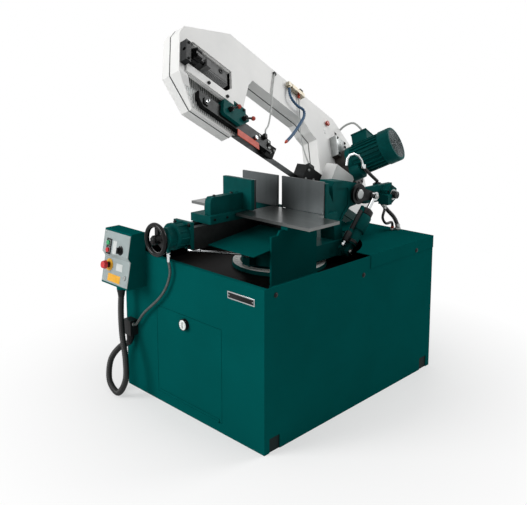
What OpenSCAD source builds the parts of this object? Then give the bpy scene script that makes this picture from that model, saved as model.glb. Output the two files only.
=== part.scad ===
// Mitre band saw: a leaning saw bow pivots on a swivelling frame above a sheet cabinet,
// and a vise with a hand-wheel screw presses the stock against two fixed jaw plates.
// Millimetres. Origin: middle of the cabinet's footprint on the floor.
// X runs to the operator's right, Y from the front to the rear, Z up.

/* [Cabinet] */
// Width of the cabinet
cab_w = 950; // [850:10:1050]
// Depth of the cabinet, front to rear
cab_d = 1240; // [1150:10:1350]
// Height of the cabinet rim
cab_h = 700; // [660:5:740]
// Thickness of the panels
sheet = 4; // [2:1:6]
// Depth of the chip tray
tray_deep = 110; // [80:5:140]
// Distance between the anchor holes across the width
anchor_x = 830; // [700:10:850]
// Distance between the anchor holes along the depth
anchor_y = 1110; // [900:10:1130]
// Diameter of the anchor holes
anchor_d = 16; // [12:1:20]

/* [Door] */
// Width of the door
door_w = 440; // [300:10:500]
// Height of the door
door_h = 420; // [300:2:420]

/* [Table and vise] */
// Height of the table top
table_h = 880; // [870:1:900]
// Thickness of the table plates
table_t = 14; // [10:1:16]
// Place of the fixed jaw faces, behind the cabinet's middle when positive
jaw_y = -30; // [-40:1:-20]
// Height of the fixed jaw plates
jaw_h = 155; // [120:5:170]
// Opening between the jaws at rest
jaw_open = 145; // [20:1:260]
// Distance of the vise axis to the left of the blade
vise_x = 120; // [115:1:130]
// Diameter of the lead screw
screw_d = 28; // [20:1:32]
// Diameter of the vise hand wheel
wheel_d = 155; // [130:5:180]

/* [Saw arm] */
// Place of the arm pivot, behind the cabinet's middle
pivot_y = 300; // [295:1:310]
// Height of the arm pivot
pivot_z = 930; // [925:1:940]
// Angle by which the arm is raised at rest
arm_rest = 30; // [0:1:35]
// Lean of the bow to the left
lean = 30; // [25:1:35]
// Radius of the band wheels
band_r = 195; // [185:1:198]
// Width of the blade
blade_w = 27; // [20:1:27]
// Thickness of the blade
blade_t = 0.9; // [0.6:0.1:1.1]
// Distance of the front wheel from the pivot
idler_u = 915; // [900:1:920]
// Distance of the drive wheel behind the pivot
drive_u = 200; // [195:1:210]
// Depth of the bow's frame half
frame_n = 55; // [50:1:60]
// Depth of the bow's cover half
cover_n = 42; // [38:1:42]

/* [Motor] */
// Diameter over the motor's fins
motor_d = 180; // [150:5:190]
// Length of the motor from its flange to its fan cover's end
motor_l = 252; // [220:2:290]

/* [Console] */
// Width of the console
con_w = 214; // [180:2:230]
// Place of the console's right side
con_x = -306; // [-320:1:-290]

/* [Display] */
// Name of the piece to show, or all

/* [Hidden] */
hx = cab_w / 2;
hy = cab_d / 2;
floor_z = cab_h - tray_deep;
screw_z = 810;
vx = -vise_x;
jaw_face = jaw_y - jaw_open;
blade_gap = 0.65;
blade_v = -(blade_gap + blade_t / 2);
tooth_n = blade_v * cos(lean) - blade_w / 2;
drop = pivot_z - table_h + tooth_n - 0.6;
wheel_v = band_r;
turn_r = 408;
cyl_x = 258;
cyl_foot = [180, 662];
cyl_pin = [105, -22];
cyl_vec = [pivot_y + cyl_pin[0] - cyl_foot[0], pivot_z + cyl_pin[1] - cyl_foot[1]];
cyl_len = norm(cyl_vec);
cyl_ang = atan2(cyl_vec[1], cyl_vec[0]);
con_z0 = 540;

// Point of the bow plane: u towards the front, v upwards
function P(u, v) = [-u, v];

// Corner points of the bow, counter-clockwise
bow = [P(1135, 80), P(1015, -35), P(750, -35), P(728, 60), P(655, 300), P(620, 350),
  P(185, 350), P(125, 310), P(70, 290), P(70, -30), P(-310, -30), P(-430, 90), P(-430, 374),
  P(-140, 540), P(784, 540), P(1108, 353), P(1135, 298)];
window_up = [P(1100, 150), P(1100, 255), P(1050, 300), P(785, 300), P(785, 200), P(835, 150)];
window_low = [P(1088, 95), P(1010, -27), P(690, -27), P(690, 95)];
inner_low = [P(1085, 140), P(1085, 84), P(1006, -24), P(735, -24), P(735, 140)];

// Polygon moved inwards by t on every side
function unit(a) = a / norm(a);
function inset(p, t) = [for (i = [0 : len(p) - 1])
  let (a = p[(i + len(p) - 1) % len(p)], b = p[i], c = p[(i + 1) % len(p)],
    e = unit(b - a), f = unit(c - b), m = [-e[1], e[0]], n = [-f[1], f[0]])
  b + (m + n) * t / (1 + m * n)];

// Smooth curve through the route points p
function knot(p, i) = i < 0 ? 2 * p[0] - p[1]
  : i >= len(p) ? 2 * p[len(p) - 1] - p[len(p) - 2] : p[i];
function curve(p, s) = let (i = min(floor(s), len(p) - 2), t = s - i, a = knot(p, i - 1),
    b = p[i], c = p[i + 1], d = knot(p, i + 2))
  b + 0.5 * t * (c - a + t * (2 * a - 5 * b + 4 * c - d + t * (3 * (b - c) + d - a)));
function path(p, n) = [for (i = [0 : n]) curve(p, i * (len(p) - 1) / n)];
function ring(q, i, ref, r, k) =
  let (t = unit(q[min(i + 1, len(q) - 1)] - q[max(i - 1, 0)]),
    s = unit(cross(t, ref)), w = cross(s, t))
  [for (j = [0 : k - 1]) q[i] + r * (cos(360 * j / k) * s + sin(360 * j / k) * w)];

// Solid tube swept along the points q
module cord(q, r, ref, k = 10) {
  n = len(q);
  polyhedron(
    points = [for (i = [0 : n - 1]) each ring(q, i, ref, r, k)],
    faces = concat([[for (j = [k - 1 : -1 : 0]) j]],
      [[for (j = [0 : k - 1]) (n - 1) * k + j]],
      [for (i = [0 : n - 2], j = [0 : k - 1]) each let (a = i * k + j, b = i * k + (j + 1) % k)
        [[a, b, b + k], [a, b + k, a + k]]]));
}

// Segmented tube with its bore, swept along the points q
module ribbed(q, r1, r2, bore, ref, k = 8) {
  n = len(q);
  polyhedron(
    points = concat([for (i = [0 : n - 1]) each ring(q, i, ref, i % 3 == 0 ? r1 : r2, k)],
      [for (i = [0 : n - 1]) each ring(q, i, ref, bore, k)]),
    faces = concat(
      [for (i = [0 : n - 2], j = [0 : k - 1]) each
        let (a = i * k + j, b = i * k + (j + 1) % k)
        [[a, b, b + k], [a, b + k, a + k]]],
      [for (i = [0 : n - 2], j = [0 : k - 1]) each
        let (a = n * k + i * k + j, b = n * k + i * k + (j + 1) % k)
        [[b + k, b, a], [a + k, b + k, a]]],
      [for (j = [0 : k - 1]) each let (b = (j + 1) % k, o = n * k)
        [[b, j, o + j], [b, o + j, o + b]]],
      [for (j = [0 : k - 1]) each let (a = (n - 1) * k, b = (j + 1) % k, o = n * k)
        [[a + j, a + b, o + a + b], [a + j, o + a + b, o + a + j]]]));
}

// Routes of the hoses, in the cabinet's frame
route_conduit = [[-412, -690, 538], [-412, -690, 500], [-414, -694, 400], [-397, -702, 300],
  [-354, -716, 190], [-336, -732, 95], [-386, -742, 21], [-466, -736, 56], [-480, -716, 150],
  [-448, -682, 216], [-416, -650, 240], [-412, -645, 263]];
route_vise = [[-104, -640, 742.6], [-104, -640, 700], [-97, -640, 650], [-130, -640, 575],
  [-188, -642, 507], [-294, -644, 418], [-348, -645, 356], [-366, -645, 340], [-382, -645, 338]];
route_lower = [[182, 534, 908], [182, 546, 880], [188, 570, 838], [212, 590, 800],
  [244, 600, 768], [266, 598, 738], [274, 595, 711]];
route_upper = [[170, 425, 1046], [172, 448, 1026], [176, 480, 1000], [180, 512, 976],
  [182, 532, 961]];
route_cylinder = [[262, 490, 850.6], [262, 490, 828], [262, 474, 785], [262, 505, 750],
  [262, 556, 748], [260, 568, 726], [260, 568, 704]];

// Routes on the arm, as u, v and height over the bow plane
route_blue = [P3(322, 476.4, 72), P3(322, 462, 72.5), P3(327, 438, 75), P3(316, 406, 78), P3(276, 384, 82),
  P3(222, 384, 84), P3(226, 336, 84), P3(290, 236, 82), P3(348, 156, 80), P3(392, 102, 78),
  P3(404, 88, 78)];
route_cable = [P3(-226, 493, 24), P3(-232, 514, 30), P3(-236, 538, 76), P3(-222, 520, 138),
  P3(-200, 452, 186), P3(-192, 400, 206), P3(-190, 373, 208)];
route_front = [P3(432, 512, 62), P3(438, 500, 62), P3(466, 382, 62), P3(490, 245, 62),
  P3(520, 138, 62), P3(545, 92, 60), P3(546, 69.5, 58)];
route_rear = [P3(225, 490, 66), P3(226, 476, 66), P3(232, 380, 64), P3(238, 280, 62),
  P3(232, 190, 60), P3(204, 125, 56), P3(180, 92, 54), P3(178, 76, 54)];
function P3(u, v, n) = [-u, v, n];

// Frame of the arm: upright axes at the pivot, and the leaning bow plane
module on_arm() translate([0, pivot_y, pivot_z]) rotate([-arm_rest, 0, 0]) children();
module in_arm() on_arm() translate([0, 0, -drop]) rotate([0, -lean, 0]) rotate([90, 0, 90])
  children();
module plate(pts, z0, z1) translate([0, 0, z0]) linear_extrude(z1 - z0) polygon(pts);
module box(a, b) translate(a) cube(b - a);
module ubox(u0, u1, v0, v1, n0, n1) box([-u1, v0, n0], [-u0, v1, n1]);
module disc(u, v, n0, n1, r, fn = 48) translate([-u, v, n0]) cylinder(r = r, h = n1 - n0, $fn = fn);
module rod_x(x0, x1, y, z, r, fn = 48) translate([x0, y, z]) rotate([0, 90, 0])
  cylinder(r = r, h = x1 - x0, $fn = fn);
module rod_y(y0, y1, x, z, r, fn = 48) translate([x, y0, z]) rotate([-90, 0, 0])
  cylinder(r = r, h = y1 - y0, $fn = fn);
module rod_u(u0, u1, v, n, r, fn = 40) translate([-u1, v, n]) rotate([0, 90, 0])
  cylinder(r = r, h = u1 - u0, $fn = fn);
// Profile in the Y Z plane, drawn out along X
module slab_x(pts, x0, x1) translate([x0, 0, 0]) rotate([90, 0, 90])
  linear_extrude(x1 - x0) polygon(pts);
// Frame along the feed cylinder, from its foot pin to its rod pin
module in_cylinder() translate([cyl_x, cyl_foot[0], cyl_foot[1]]) rotate([cyl_ang - 90, 0, 0])
  children();

module base_frame() color("#3a3f42") difference() {
  union() {
    for (s = [-1, 1]) {
      box([s * (hx - sheet - 15) - 15, -hy + sheet, 0], [s * (hx - sheet - 15) + 15, hy - sheet, 60]);
      box([-hx + sheet, s * (hy - sheet - 15) - 15, 12], [hx - sheet, s * (hy - sheet - 15) + 15, 60]);
      for (t = [-1, 1]) {
        box([s * anchor_x / 2 - 45, t * anchor_y / 2 - 45, 0],
          [s * anchor_x / 2 + 45, t * anchor_y / 2 + 45, 12]);
        box([s * (hx - sheet - 15) - 15, t * (hy - sheet - 15) - 15, 55],
          [s * (hx - sheet - 15) + 15, t * (hy - sheet - 15) + 15, floor_z - 2]);
      }
    }
  }
  for (s = [-1, 1], t = [-1, 1]) translate([s * anchor_x / 2, t * anchor_y / 2, -1])
    cylinder(d = anchor_d, h = 20, $fn = 32);
}

module front_panel() color("#0f4f4d") difference() {
  union() {
    box([-hx, -hy, 0], [hx, -hy + sheet, cab_h]);
    box([-hx + sheet, -hy, cab_h - 3], [hx - sheet, -hy + 20, cab_h]);
  }
  box([-door_w / 2 - 7, -hy - 1, 44], [door_w / 2 + 1, -hy + sheet + 1, 46 + door_h + 2]);
}

module right_panel() color("#0f4f4d") difference() {
  box([hx - sheet, -hy + sheet, 0], [hx, hy - sheet, cab_h]);
  for (t = [-1, 1]) box([hx - 10, t * 559 - 31, -1], [hx + 1, t * 559 + 31, 62]);
}

module back_panels() color("#0f4f4d") {
  difference() {
    box([-hx, -hy + sheet, 0], [-hx + sheet, hy - sheet, cab_h]);
    for (t = [-1, 1]) box([-hx - 1, t * 559 - 31, -1], [-hx + 10, t * 559 + 31, 62]);
  }
  difference() {
    box([-hx, hy - sheet, 0], [hx, hy, cab_h]);
    for (i = [0 : 5]) box([-150, hy - 10, 420 + 28 * i], [150, hy + 1, 428 + 28 * i]);
  }
}

module chip_tray() color("#3b342e") difference() {
  box([-hx + 8, -hy + 24, floor_z], [hx - 8, 392, cab_h - 4]);
  box([-hx + 12, -hy + 28, floor_z + 4], [hx - 12, 388, cab_h]);
  translate([300, -500, floor_z - 1]) cylinder(r = 22, h = 10, $fn = 32);
}

module rear_deck() color("#0f4f4d") difference() {
  union() {
    box([-hx, 81, cab_h], [hx + 3, hy, cab_h + 3]);
    box([hx, 81, cab_h - 60], [hx + 3, hy, cab_h + 3]);
  }
  translate([0, jaw_y, cab_h - 1]) cylinder(r = turn_r, h = 5, $fn = 96);
  for (p = [[276, 594, 15], [260, 568, 9]]) translate([p[0], p[1], cab_h - 1])
    cylinder(r = p[2], h = 6, $fn = 24);
}

module turntable_base() color("#4a4d4c") translate([0, jaw_y, 0]) {
  translate([0, 0, floor_z + 4]) cylinder(r = 236, h = 18, $fn = 72);
  translate([0, 0, floor_z + 4]) cylinder(r = 150, h = 740 - floor_z - 4, $fn = 72);
}

module scale_ring() color("#f0efe8") translate([0, jaw_y, floor_z + 22]) difference() {
  cylinder(r = 232, h = 4, $fn = 72);
  translate([0, 0, -1]) cylinder(r = 196, h = 6, $fn = 72);
}

module vise_bed() color("#0f4f4d") difference() {
  union() {
    box([vx - 55, -530, 740], [vx + 57, 40, 845]);
    box([-430, -150, 812], [vx - 50, -60, 842]);
    box([-425, -150, 842], [-322, -60, table_h - table_t]);
    box([-50, -100, 740], [90, -38, table_h - table_t]);
    box([vx + 50, -100, 740], [-45, -38, 800]);
  }
  box([vx - 20, -531, 785], [vx + 20, -45, 850]);
  rod_y(-50, -20, vx, screw_z, screw_d / 2 + 0.5);
}

module work_table() color("#c9ccca") {
  box([-45, -285, table_h - table_t], [288, jaw_y - 5, table_h]);
  box([287, -285, table_h - table_t], [415, -78, table_h]);
  box([-430, -235, table_h - table_t], [-317, jaw_y - 5, table_h]);
}

module table_support() color("#0f4f4d") {
  slab_x([[-352, floor_z + 4], [-46, floor_z + 4], [-46, 846], [-297, 846], [-310, 826],
    [-352, 826]], 245, 255);
  box([240, -352, floor_z + 4], [285, -46, floor_z + 14]);
  for (y = [-270, -110]) box([235, y, 846], [275, y + 44, table_h - table_t]);
}

module chip_chute() color("#0f4f4d")
  slab_x([[-450, 752], [-107, 791], [-107, 794], [-450, 755]], -55, 245);

module fixed_jaw_plates() color("#6e7472") for (s = [[-263, -14], [14, 280]])
  box([s[0], jaw_y, table_h], [s[1], jaw_y + 10, table_h + jaw_h]);

module jaw_support() color("#0f4f4d") {
  slab_x([[-20, table_h], [70, table_h], [70, 905], [10, 1010], [-20, 1025]], 30, 60);
  slab_x([[-20, table_h], [70, table_h], [70, 905], [10, 1010], [-20, 1025]], 235, 265);
  box([30, -20, table_h - 40], [285, 70, table_h]);
  box([30, -20, table_h], [285, 4, 1025]);
  box([20, -20, 740], [135, 55, table_h - 40]);
  box([vx - 142, -20, 800], [vx - 55, 16, table_h]);
  box([vx - 142, -20, table_h], [vx - 65, 10, 1020]);
  box([vx - 60, -20, 846], [-20, 16, table_h]);
}

module screw_housing() color("#0f4f4d") difference() {
  union() {
    box([vx - 62, -548, 748], [vx + 62, -530, 872]);
    rod_y(-600, -548, vx, screw_z, 56, 64);
    rod_y(-612, -600, vx, screw_z, 62, 64);
    rod_y(-648, -612, vx, screw_z, 46, 64);
    translate([-104, -640, 744]) cylinder(r = 9, h = 30, $fn = 32);
  }
  rod_y(-700, -500, vx, screw_z, screw_d / 2 + 0.05);
}

// Depth of the console's two facets at height z
function upper_y(z) = -695 - (800 - z) * 21 / 110;
function lower_y(z) = -702 - (668 - z) * 26 / (668 - con_z0);
con_profile = [[-hy, 800], [upper_y(800), 800], [upper_y(690), 690], [lower_y(668), 668],
  [lower_y(con_z0), con_z0], [-hy, con_z0]];
// Frames standing on the facets, Z out of the panel
module on_upper(x, z) translate([x, upper_y(z), z]) rotate([90 - atan(21 / 110), 0, 0]) children();
module on_lower(x, z) translate([x, lower_y(z), z])
  rotate([90 - atan(26 / (668 - con_z0)), 0, 0]) children();
module button_holes() {
  for (z = [738, 704]) on_upper(-467, z) translate([0, 0, -8]) cylinder(r = 11.5, h = 20, $fn = 32);
  on_lower(-470, 630) translate([0, 0, -10]) cylinder(r = 12.5, h = 20, $fn = 32);
}

module console_case() color("#0f4f4d") difference() {
  union() {
    slab_x(con_profile, con_x - con_w, con_x);
    translate([-412, -690, con_z0 - 22]) cylinder(r = 21, h = 24, $fn = 32);
  }
  translate([-412, -690, con_z0 - 30]) cylinder(r = 15.6, h = 30, $fn = 32);
  button_holes();
}

con_face = [[upper_y(792), 792], [upper_y(690), 690], [lower_y(668), 668], [lower_y(549), 549]];
module console_panel() color("#b7bbb9") difference() {
  slab_x(concat(con_face, [for (i = [3 : -1 : 0]) con_face[i] - [3, 0]]), con_x - con_w + 6, con_x - 2);
  button_holes();
}

module gland_box() color("#232526") {
  box([-441, -664, 282], [-382, -hy, 356]);
  translate([-412, -645, 268]) cylinder(r = 19, h = 16, $fn = 32);
}

module console_conduit() color("#2a2c2c") cord(path(route_conduit, 33), 15, [0, 1, 0]);

module vise_hose() color("#9da2a2") cord(path(route_vise, 24), 6.5, [0, 1, 0], 8);

module door() color("#0f4f4d") {
  box([-door_w / 2 - 5, -hy, 46.5], [door_w / 2 - 1, -hy + sheet, 46 + door_h]);
  rod_x(-door_w / 2 + 10, door_w / 2 - 16, -hy - 3, 45.5, 3, 24);
  box([-door_w / 2 + 10, -hy - 2.5, 46.5], [door_w / 2 - 16, -hy, 60]);
}

module door_latch() color("#e9e9e6") difference() {
  rod_y(-hy - 16, -hy, -20, 428, 26, 48);
  box([-23, -hy - 17, 412], [-17, -hy - 14, 444]);
}

module movable_jaw() color("#0f4f4d") translate([0, jaw_face, 0]) {
  box([vx - 72, -262, 845.4], [vx + 68, -14, 884]);
  slab_x([[-14, 884], [-14, 965], [-222, 965], [-234, 955], [-238, 940], [-238, 884]],
    vx + 2, vx + 42);
  box([-216, -34, 884], [-16, -14, 1031]);
  difference() {
    box([vx - 18, -230, 788], [vx + 18, -160, 846]);
    rod_y(-240, -150, vx, screw_z, screw_d / 2 + 0.4);
  }
}

module jaw_face_plate() color("#6e7472") translate([0, jaw_face, 0])
  box([-214, -14, 886], [-18, 0, 1029]);

module vise_screw() color("#a8adab") rod_y(-716, -60, vx, screw_z, screw_d / 2, 40);

module vise_handwheel() color("#222425") translate([vx, -690, screw_z]) rotate([90, 0, 0]) {
  translate([0, 0, 6]) rotate_extrude($fn = 64) translate([wheel_d / 2 - 11, 0]) circle(r = 11, $fn = 24);
  difference() {
    translate([0, 0, -38]) cylinder(r = 22, h = 56, $fn = 40);
    translate([0, 0, -50]) cylinder(r = screw_d / 2, h = 100, $fn = 40);
  }
  for (a = [90, 210, 330]) rotate([0, 0, a]) difference() {
    translate([16, -11, -8]) cube([wheel_d / 2 - 26, 22, 12]);
    translate([0, 0, -50]) cylinder(r = screw_d / 2 + 2, h = 100, $fn = 40);
  }
}

module swivel_frame() color("#0f4f4d") difference() {
  union() {
    translate([0, jaw_y, 625]) cylinder(r = 190, h = 75, $fn = 72);
    intersection() {
      box([-230, jaw_y, 640], [226, jaw_y + 400, 716]);
      translate([0, jaw_y, 600]) cylinder(r = 365, h = 200, $fn = 96);
    }
    slab_x([[140, 710], [115, 990], [130, 1012], [225, 1003], [300, 985], [345, 960], [352, 930],
      [345, 900], [300, 872], [255, 868], [206, 830], [188, 800], [204, 706], [140, 706]], 125, 215);
    slab_x([[256, 706], [256, 950], [275, 972], [325, 972], [344, 950], [335, 706]], -185, -135);
    box([-24, -262, 628], [24, -200, 668]);
    slab_x([[330, 905], [360, 870], [605, 858], [605, 950], [330, 950]], 200, 225);
    box([164, 516, 915], [204, 552, 950]);
    slab_x([[150, 640], [212, 640], [212, 680], [190, 690], [165, 690], [150, 680]], 224, 242);
    rod_x(240, 280, cyl_foot[0], cyl_foot[1], 9, 32);
  }
  translate([0, jaw_y, 600]) cylinder(r = 150.3, h = 200, $fn = 72);
  rod_x(-220, 230, pivot_y, pivot_z, 20.06);
  slab_x([[152, 815], [144, 955], [158, 972], [236, 968], [244, 950], [240, 880], [200, 842],
    [182, 815]], 209, 216);
  translate([182, 534, 900]) cylinder(r = 12, h = 60, $fn = 32);
  translate([0, -244, 620]) cylinder(r = 8.05, h = 60, $fn = 32);
}

module lock_lever() color("#8c9290") {
  translate([0, -244, 640]) cylinder(r = 8, h = 44, $fn = 32);
  translate([0, -244, 669]) cylinder(r = 17, h = 18, $fn = 32);
  translate([0, -244, 678]) rotate([0, 0, 210.5]) rotate([0, 90, 0]) cylinder(r = 6, h = 292, $fn = 24);
  translate([0, -244, 678]) rotate([0, 0, 210.5]) translate([242, 0, 0]) rotate([0, 90, 0])
    cylinder(r = 11, h = 62, $fn = 32);
}

module feed_valve() color("#0f4f4d") difference() {
  union() {
    translate([225, 545, 900]) rotate([0, 90, 0]) cylinder(r = 52, h = 40, $fn = 6);
    box([225, 484, 852], [285, 520, 905]);
    rod_x(264, 276, 545, 900, 30, 40);
  }
  rod_x(250, 300, 545, 900, 8.05, 32);
}

module feed_knob() color("#222425") {
  rod_x(252, 296, 545, 900, 8, 32);
  rod_x(278, 300, 545, 900, 19, 40);
}

module hose_lower() color("#1f2122") cord(path(route_lower, 14), 11, [1, 0, 0]);
module hose_upper() color("#1f2122") cord(path(route_upper, 8), 9, [0, 1, 0]);
module cylinder_hose() color("#1f2122") cord(path(route_cylinder, 14), 7, [1, 0, 0], 8);

module pivot_crank() color("#5a5f5e") translate([0, pivot_y, pivot_z]) {
  rod_x(-192, 220, 0, 0, 20);
  rod_x(217, 228, 0, 0, 28);
  rod_x(226.4, 240, 0, 0, 52);
  hull() {
    rod_x(238, 246, 0, 0, 34, 32);
    rod_x(238, 246, cyl_pin[0], cyl_pin[1], 22, 32);
  }
  rod_x(244, 272, cyl_pin[0], cyl_pin[1], 9, 32);
}

module arm_frame() color("#eef0ee") difference() {
  union() {
    in_arm() difference() {
      union() {
        difference() {
          plate(bow, 0, frame_n);
          plate(inset(bow, 8), -1, frame_n - 12);
          plate(window_up, frame_n - 20, frame_n + 5);
          translate([0, 80, frame_n]) rotate([17.8, 0, 0]) box([-1200, -200, 0], [-600, 0, 80]);
        }
        ubox(785, 1098, 100, 146, frame_n, frame_n + 8);
        ubox(790, 1040, 292.5, 301, 20, frame_n - 8);
        ubox(850, 1040, 149, 157.5, 20, frame_n - 8);
        plate(inner_low, 17.5, 20.5);
        ubox(735, 1085, 128, 140, 18, frame_n - 8);
      }
      difference() {
        plate(window_low, -5, frame_n + 1);
        plate(inset(inner_low, -1), 17.5, 20.5);
      }
      ubox(55, 85, -24, 22, -1, 17);
      disc(-drive_u, wheel_v, 30, 70, 46);
    }
    on_arm() {
      slab_x([[-100, -30], [-60, -44], [40, -44], [70, 0], [70, 96], [50, 108], [-100, 108]],
        50, 120);
      rod_x(-122, 60, 0, 0, 22);
      rod_x(-122, -98, 0, 0, 34);
    }
  }
  on_arm() rod_x(-200, 200, 0, 0, 20);
}

module wheel_cover() color("#e9ebe9") difference() {
  in_arm() difference() {
    plate(bow, -cover_n, 0);
    plate(inset(bow, 6), 3 - cover_n, 1);
    ubox(690, 775, -27, 45, -32, 1);
    ubox(55, 85, -24, 24, -20, 1);
  }
  on_arm() rod_x(-200, 60, 0, 0, 26.5);
  on_arm() rod_x(-200, -96, 0, 0, 34.5);
}

module band_wheel(bore) difference() {
  union() {
    difference() {
      cylinder(r = band_r, h = 32, center = true, $fn = 96);
      for (s = [-1, 1]) translate([0, 0, s * 16]) cylinder(r = band_r - 24, h = 20, center = true, $fn = 96);
    }
    cylinder(r = 40, h = 32, center = true, $fn = 48);
  }
  cylinder(r = bore, h = 60, center = true, $fn = 48);
  for (a = [0 : 72 : 359]) rotate([0, 0, a]) translate([105, 0, 0])
    cylinder(r = 34, h = 40, center = true, $fn = 40);
}

module drive_wheel() color("#7c8280") in_arm() translate([drive_u, wheel_v, 0]) {
  band_wheel(20);
  translate([0, 0, -18]) cylinder(r = 20, h = 118, $fn = 48);
}

module idler_wheel() color("#7c8280") in_arm() translate([-idler_u, wheel_v, 0]) band_wheel(17.06);

// Blade loop: four corner points per ring, turned upright between the guides
function twist(u) = u > 520 ? 60 * (idler_u - u) / (idler_u - 520)
  : u < 72 ? 60 * (u + drive_u) / (72 + drive_u) : 60;
function blade_ring(u, v, out, t) = let (w = [0, sin(t), cos(t)],
    m = t == 0 ? [-out[0], out[1], 0] : [0, -cos(t), sin(t)])
  [for (s = [[-1, -1], [1, -1], [1, 1], [-1, 1]])
    [-u, v, 0] + s[0] * blade_t / 2 * m + s[1] * blade_w / 2 * w];
module blade() color("#b4b8b6") in_arm() {
  r = band_r - blade_v;
  low = [for (u = [idler_u : -(idler_u - 520) / 8 : 521]) u];
  mid = [for (i = [0 : 3]) 520 - i * 448 / 3];
  back = [for (i = [1 : 6]) 72 - i * (72 + drive_u) / 6];
  rings = concat(
    [for (u = concat(low, mid, back)) blade_ring(u, blade_v, [0, -1], twist(u))],
    [for (i = [1 : 24]) let (a = -90 - i * 180 / 24)
      blade_ring(-drive_u + r * cos(a), wheel_v + r * sin(a), [cos(a), sin(a)], 0)],
    [for (i = [0 : 23]) let (a = 90 - i * 180 / 24)
      blade_ring(idler_u + r * cos(a), wheel_v + r * sin(a), [cos(a), sin(a)], 0)]);
  n = len(rings);
  polyhedron(points = [for (q = rings) each q],
    faces = [for (i = [0 : n - 1], j = [0 : 3]) each
      let (a = i * 4 + j, b = i * 4 + (j + 1) % 4, c = ((i + 1) % n) * 4 + (j + 1) % 4,
        d = ((i + 1) % n) * 4 + j) j < 2 ? [[a, b, c], [a, c, d]] : [[a, b, d], [b, c, d]]]);
}

module tension_slide() color("#4c5153") in_arm() difference() {
  union() {
    plate([P(1005, 158), P(1005, 250), P(985, 292), P(800, 292), P(800, 215), P(850, 158)], 22, 40);
    ubox(978, 1005, 170, 210, 38, 96);
    disc(idler_u, wheel_v, -20, 24, 17);
    disc(idler_u, wheel_v, 16.6, 24, 24);
  }
  rod_u(960, 1020, 190, 78, 9.4);
}

module tension_block() color("#1d1f20") in_arm() difference() {
  ubox(1101, 1130, 128, 240, frame_n, frame_n + 36);
  rod_u(1090, 1140, 190, 78, 9.06);
}

module tension_handwheel() color("#1d1f20") in_arm() {
  rod_u(984, 1124, 190, 78, 9);
  rod_u(1046, 1084, 190, 78, 30);
  for (a = [0 : 72 : 359]) translate([-1084, 190, 78]) rotate([0, 90, 0]) rotate([0, 0, a])
    translate([27, 0, 4]) cylinder(r = 12, h = 30, $fn = 32);
}

module guide_bar() color("#26292b") {
  in_arm() {
    plate([P(490, -8), P(490, 62), P(1000, 62), P(1000, 22), P(975, -8)], 23, 46);
    ubox(538, 554, 44, 68, 46, 63);
    ubox(946, 972, 4, 36, 46, 52);
  }
  on_arm() translate([0, 0, -drop]) difference() {
    box([-9, -520, -5], [36, -462, 52]);
    box([-0.6, -530, -10], [1.7, -450, 13.4]);
  }
}

module guide_clamp() color("#0f4f4d") in_arm() {
  translate([0, 0, 46.4]) linear_extrude(17.6) offset(r = 10, $fn = 32) offset(delta = -10)
    polygon([P(862, 12), P(742, 8), P(676, 66), P(684, 95), P(854, 95)]);
  ubox(700, 850, 62.4, 94.4, 21, 50);
  ubox(700, 784, 80, 122, frame_n, 64);
}

module clamp_lever(u, v, a) in_arm() translate([-u, v, 64.4]) rotate([0, 0, a]) {
  cylinder(r = 12, h = 16, $fn = 32);
  translate([0, 0, 12]) rotate([0, 72, 0]) cylinder(r = 5, h = 42, $fn = 24);
  translate([44, 0, 26]) sphere(r = 10, $fn = 24);
}
module clamp_lever_front() color("#b5452c") clamp_lever(818, 52, 35);
module clamp_lever_rear() color("#b5452c") clamp_lever(722, 54, 18);

module blade_guard() color("#d9542b") in_arm() ubox(590, 745, -40, -4, 46, 49);

module rear_guide() color("#26292b") {
  on_arm() translate([0, 0, -drop]) difference() {
    box([-24, -225, -5], [46, -70, 75]);
    box([-0.6, -230, -10], [1.7, -60, 13.4]);
  }
  in_arm() ubox(145, 190, 50, 76, 40, 66);
}

module gearbox() color("#c4c7c4") in_arm() difference() {
  union() {
    disc(-drive_u, wheel_v, frame_n, 120, 85, 64);
    disc(-180, 237, frame_n, 120, 80, 64);
    ubox(-170, -72, 245, 372, frame_n, 92);
  }
  disc(-drive_u, wheel_v, 50, 104, 20.06);
}

module motor() color("#0f4f4d") in_arm() {
  translate([180, 237, 0]) {
    translate([0, 0, 120]) cylinder(r = 84, h = 30, $fn = 64);
    translate([0, 0, 150]) cylinder(r = motor_d / 2 - 10, h = motor_l - 76, $fn = 64);
    for (a = [0 : 15 : 359]) rotate([0, 0, a]) translate([motor_d / 2 - 14, -2, 158])
      cube([14, 4, motor_l - 90]);
    translate([0, 0, 150 + motor_l - 78]) cylinder(r = motor_d / 2 + 2, h = 68, $fn = 64);
    translate([-48, 60, 160]) cube([96, 75, 92]);
  }
  disc(-168, 160, 120, 180, 46, 48);
}

module coolant_valve() color("#b9a878") in_arm() {
  ubox(190, 302, 490, 516, frame_n, 82);
  rod_u(300, 314, 502, 71, 9);
  ubox(311, 334, 488, 514, 60, 83);
  translate([-322, 478, 72]) rotate([-90, 0, 0]) cylinder(r = 8, h = 12, $fn = 32);
}

module coolant_tap() color("#232526") in_arm() translate([-205, 516.3, 70]) rotate([-90, 0, 0]) {
  cylinder(r = 7, h = 14, $fn = 24);
  translate([-13, -6, 12]) cube([26, 12, 10]);
}

module coolant_hose() color("#2f6fc0") in_arm() ribbed(path(route_blue, 120), 8, 6, 3, [0, 0, 1]);

module arm_lines() color("#c8c8c0") in_arm() {
  cord(path(route_cable, 16), 6, [1, 0, 0], 8);
  cord(path(route_front, 16), 4, [0, 0, 1], 8);
  cord(path(route_rear, 16), 4, [0, 0, 1], 8);
}

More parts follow.
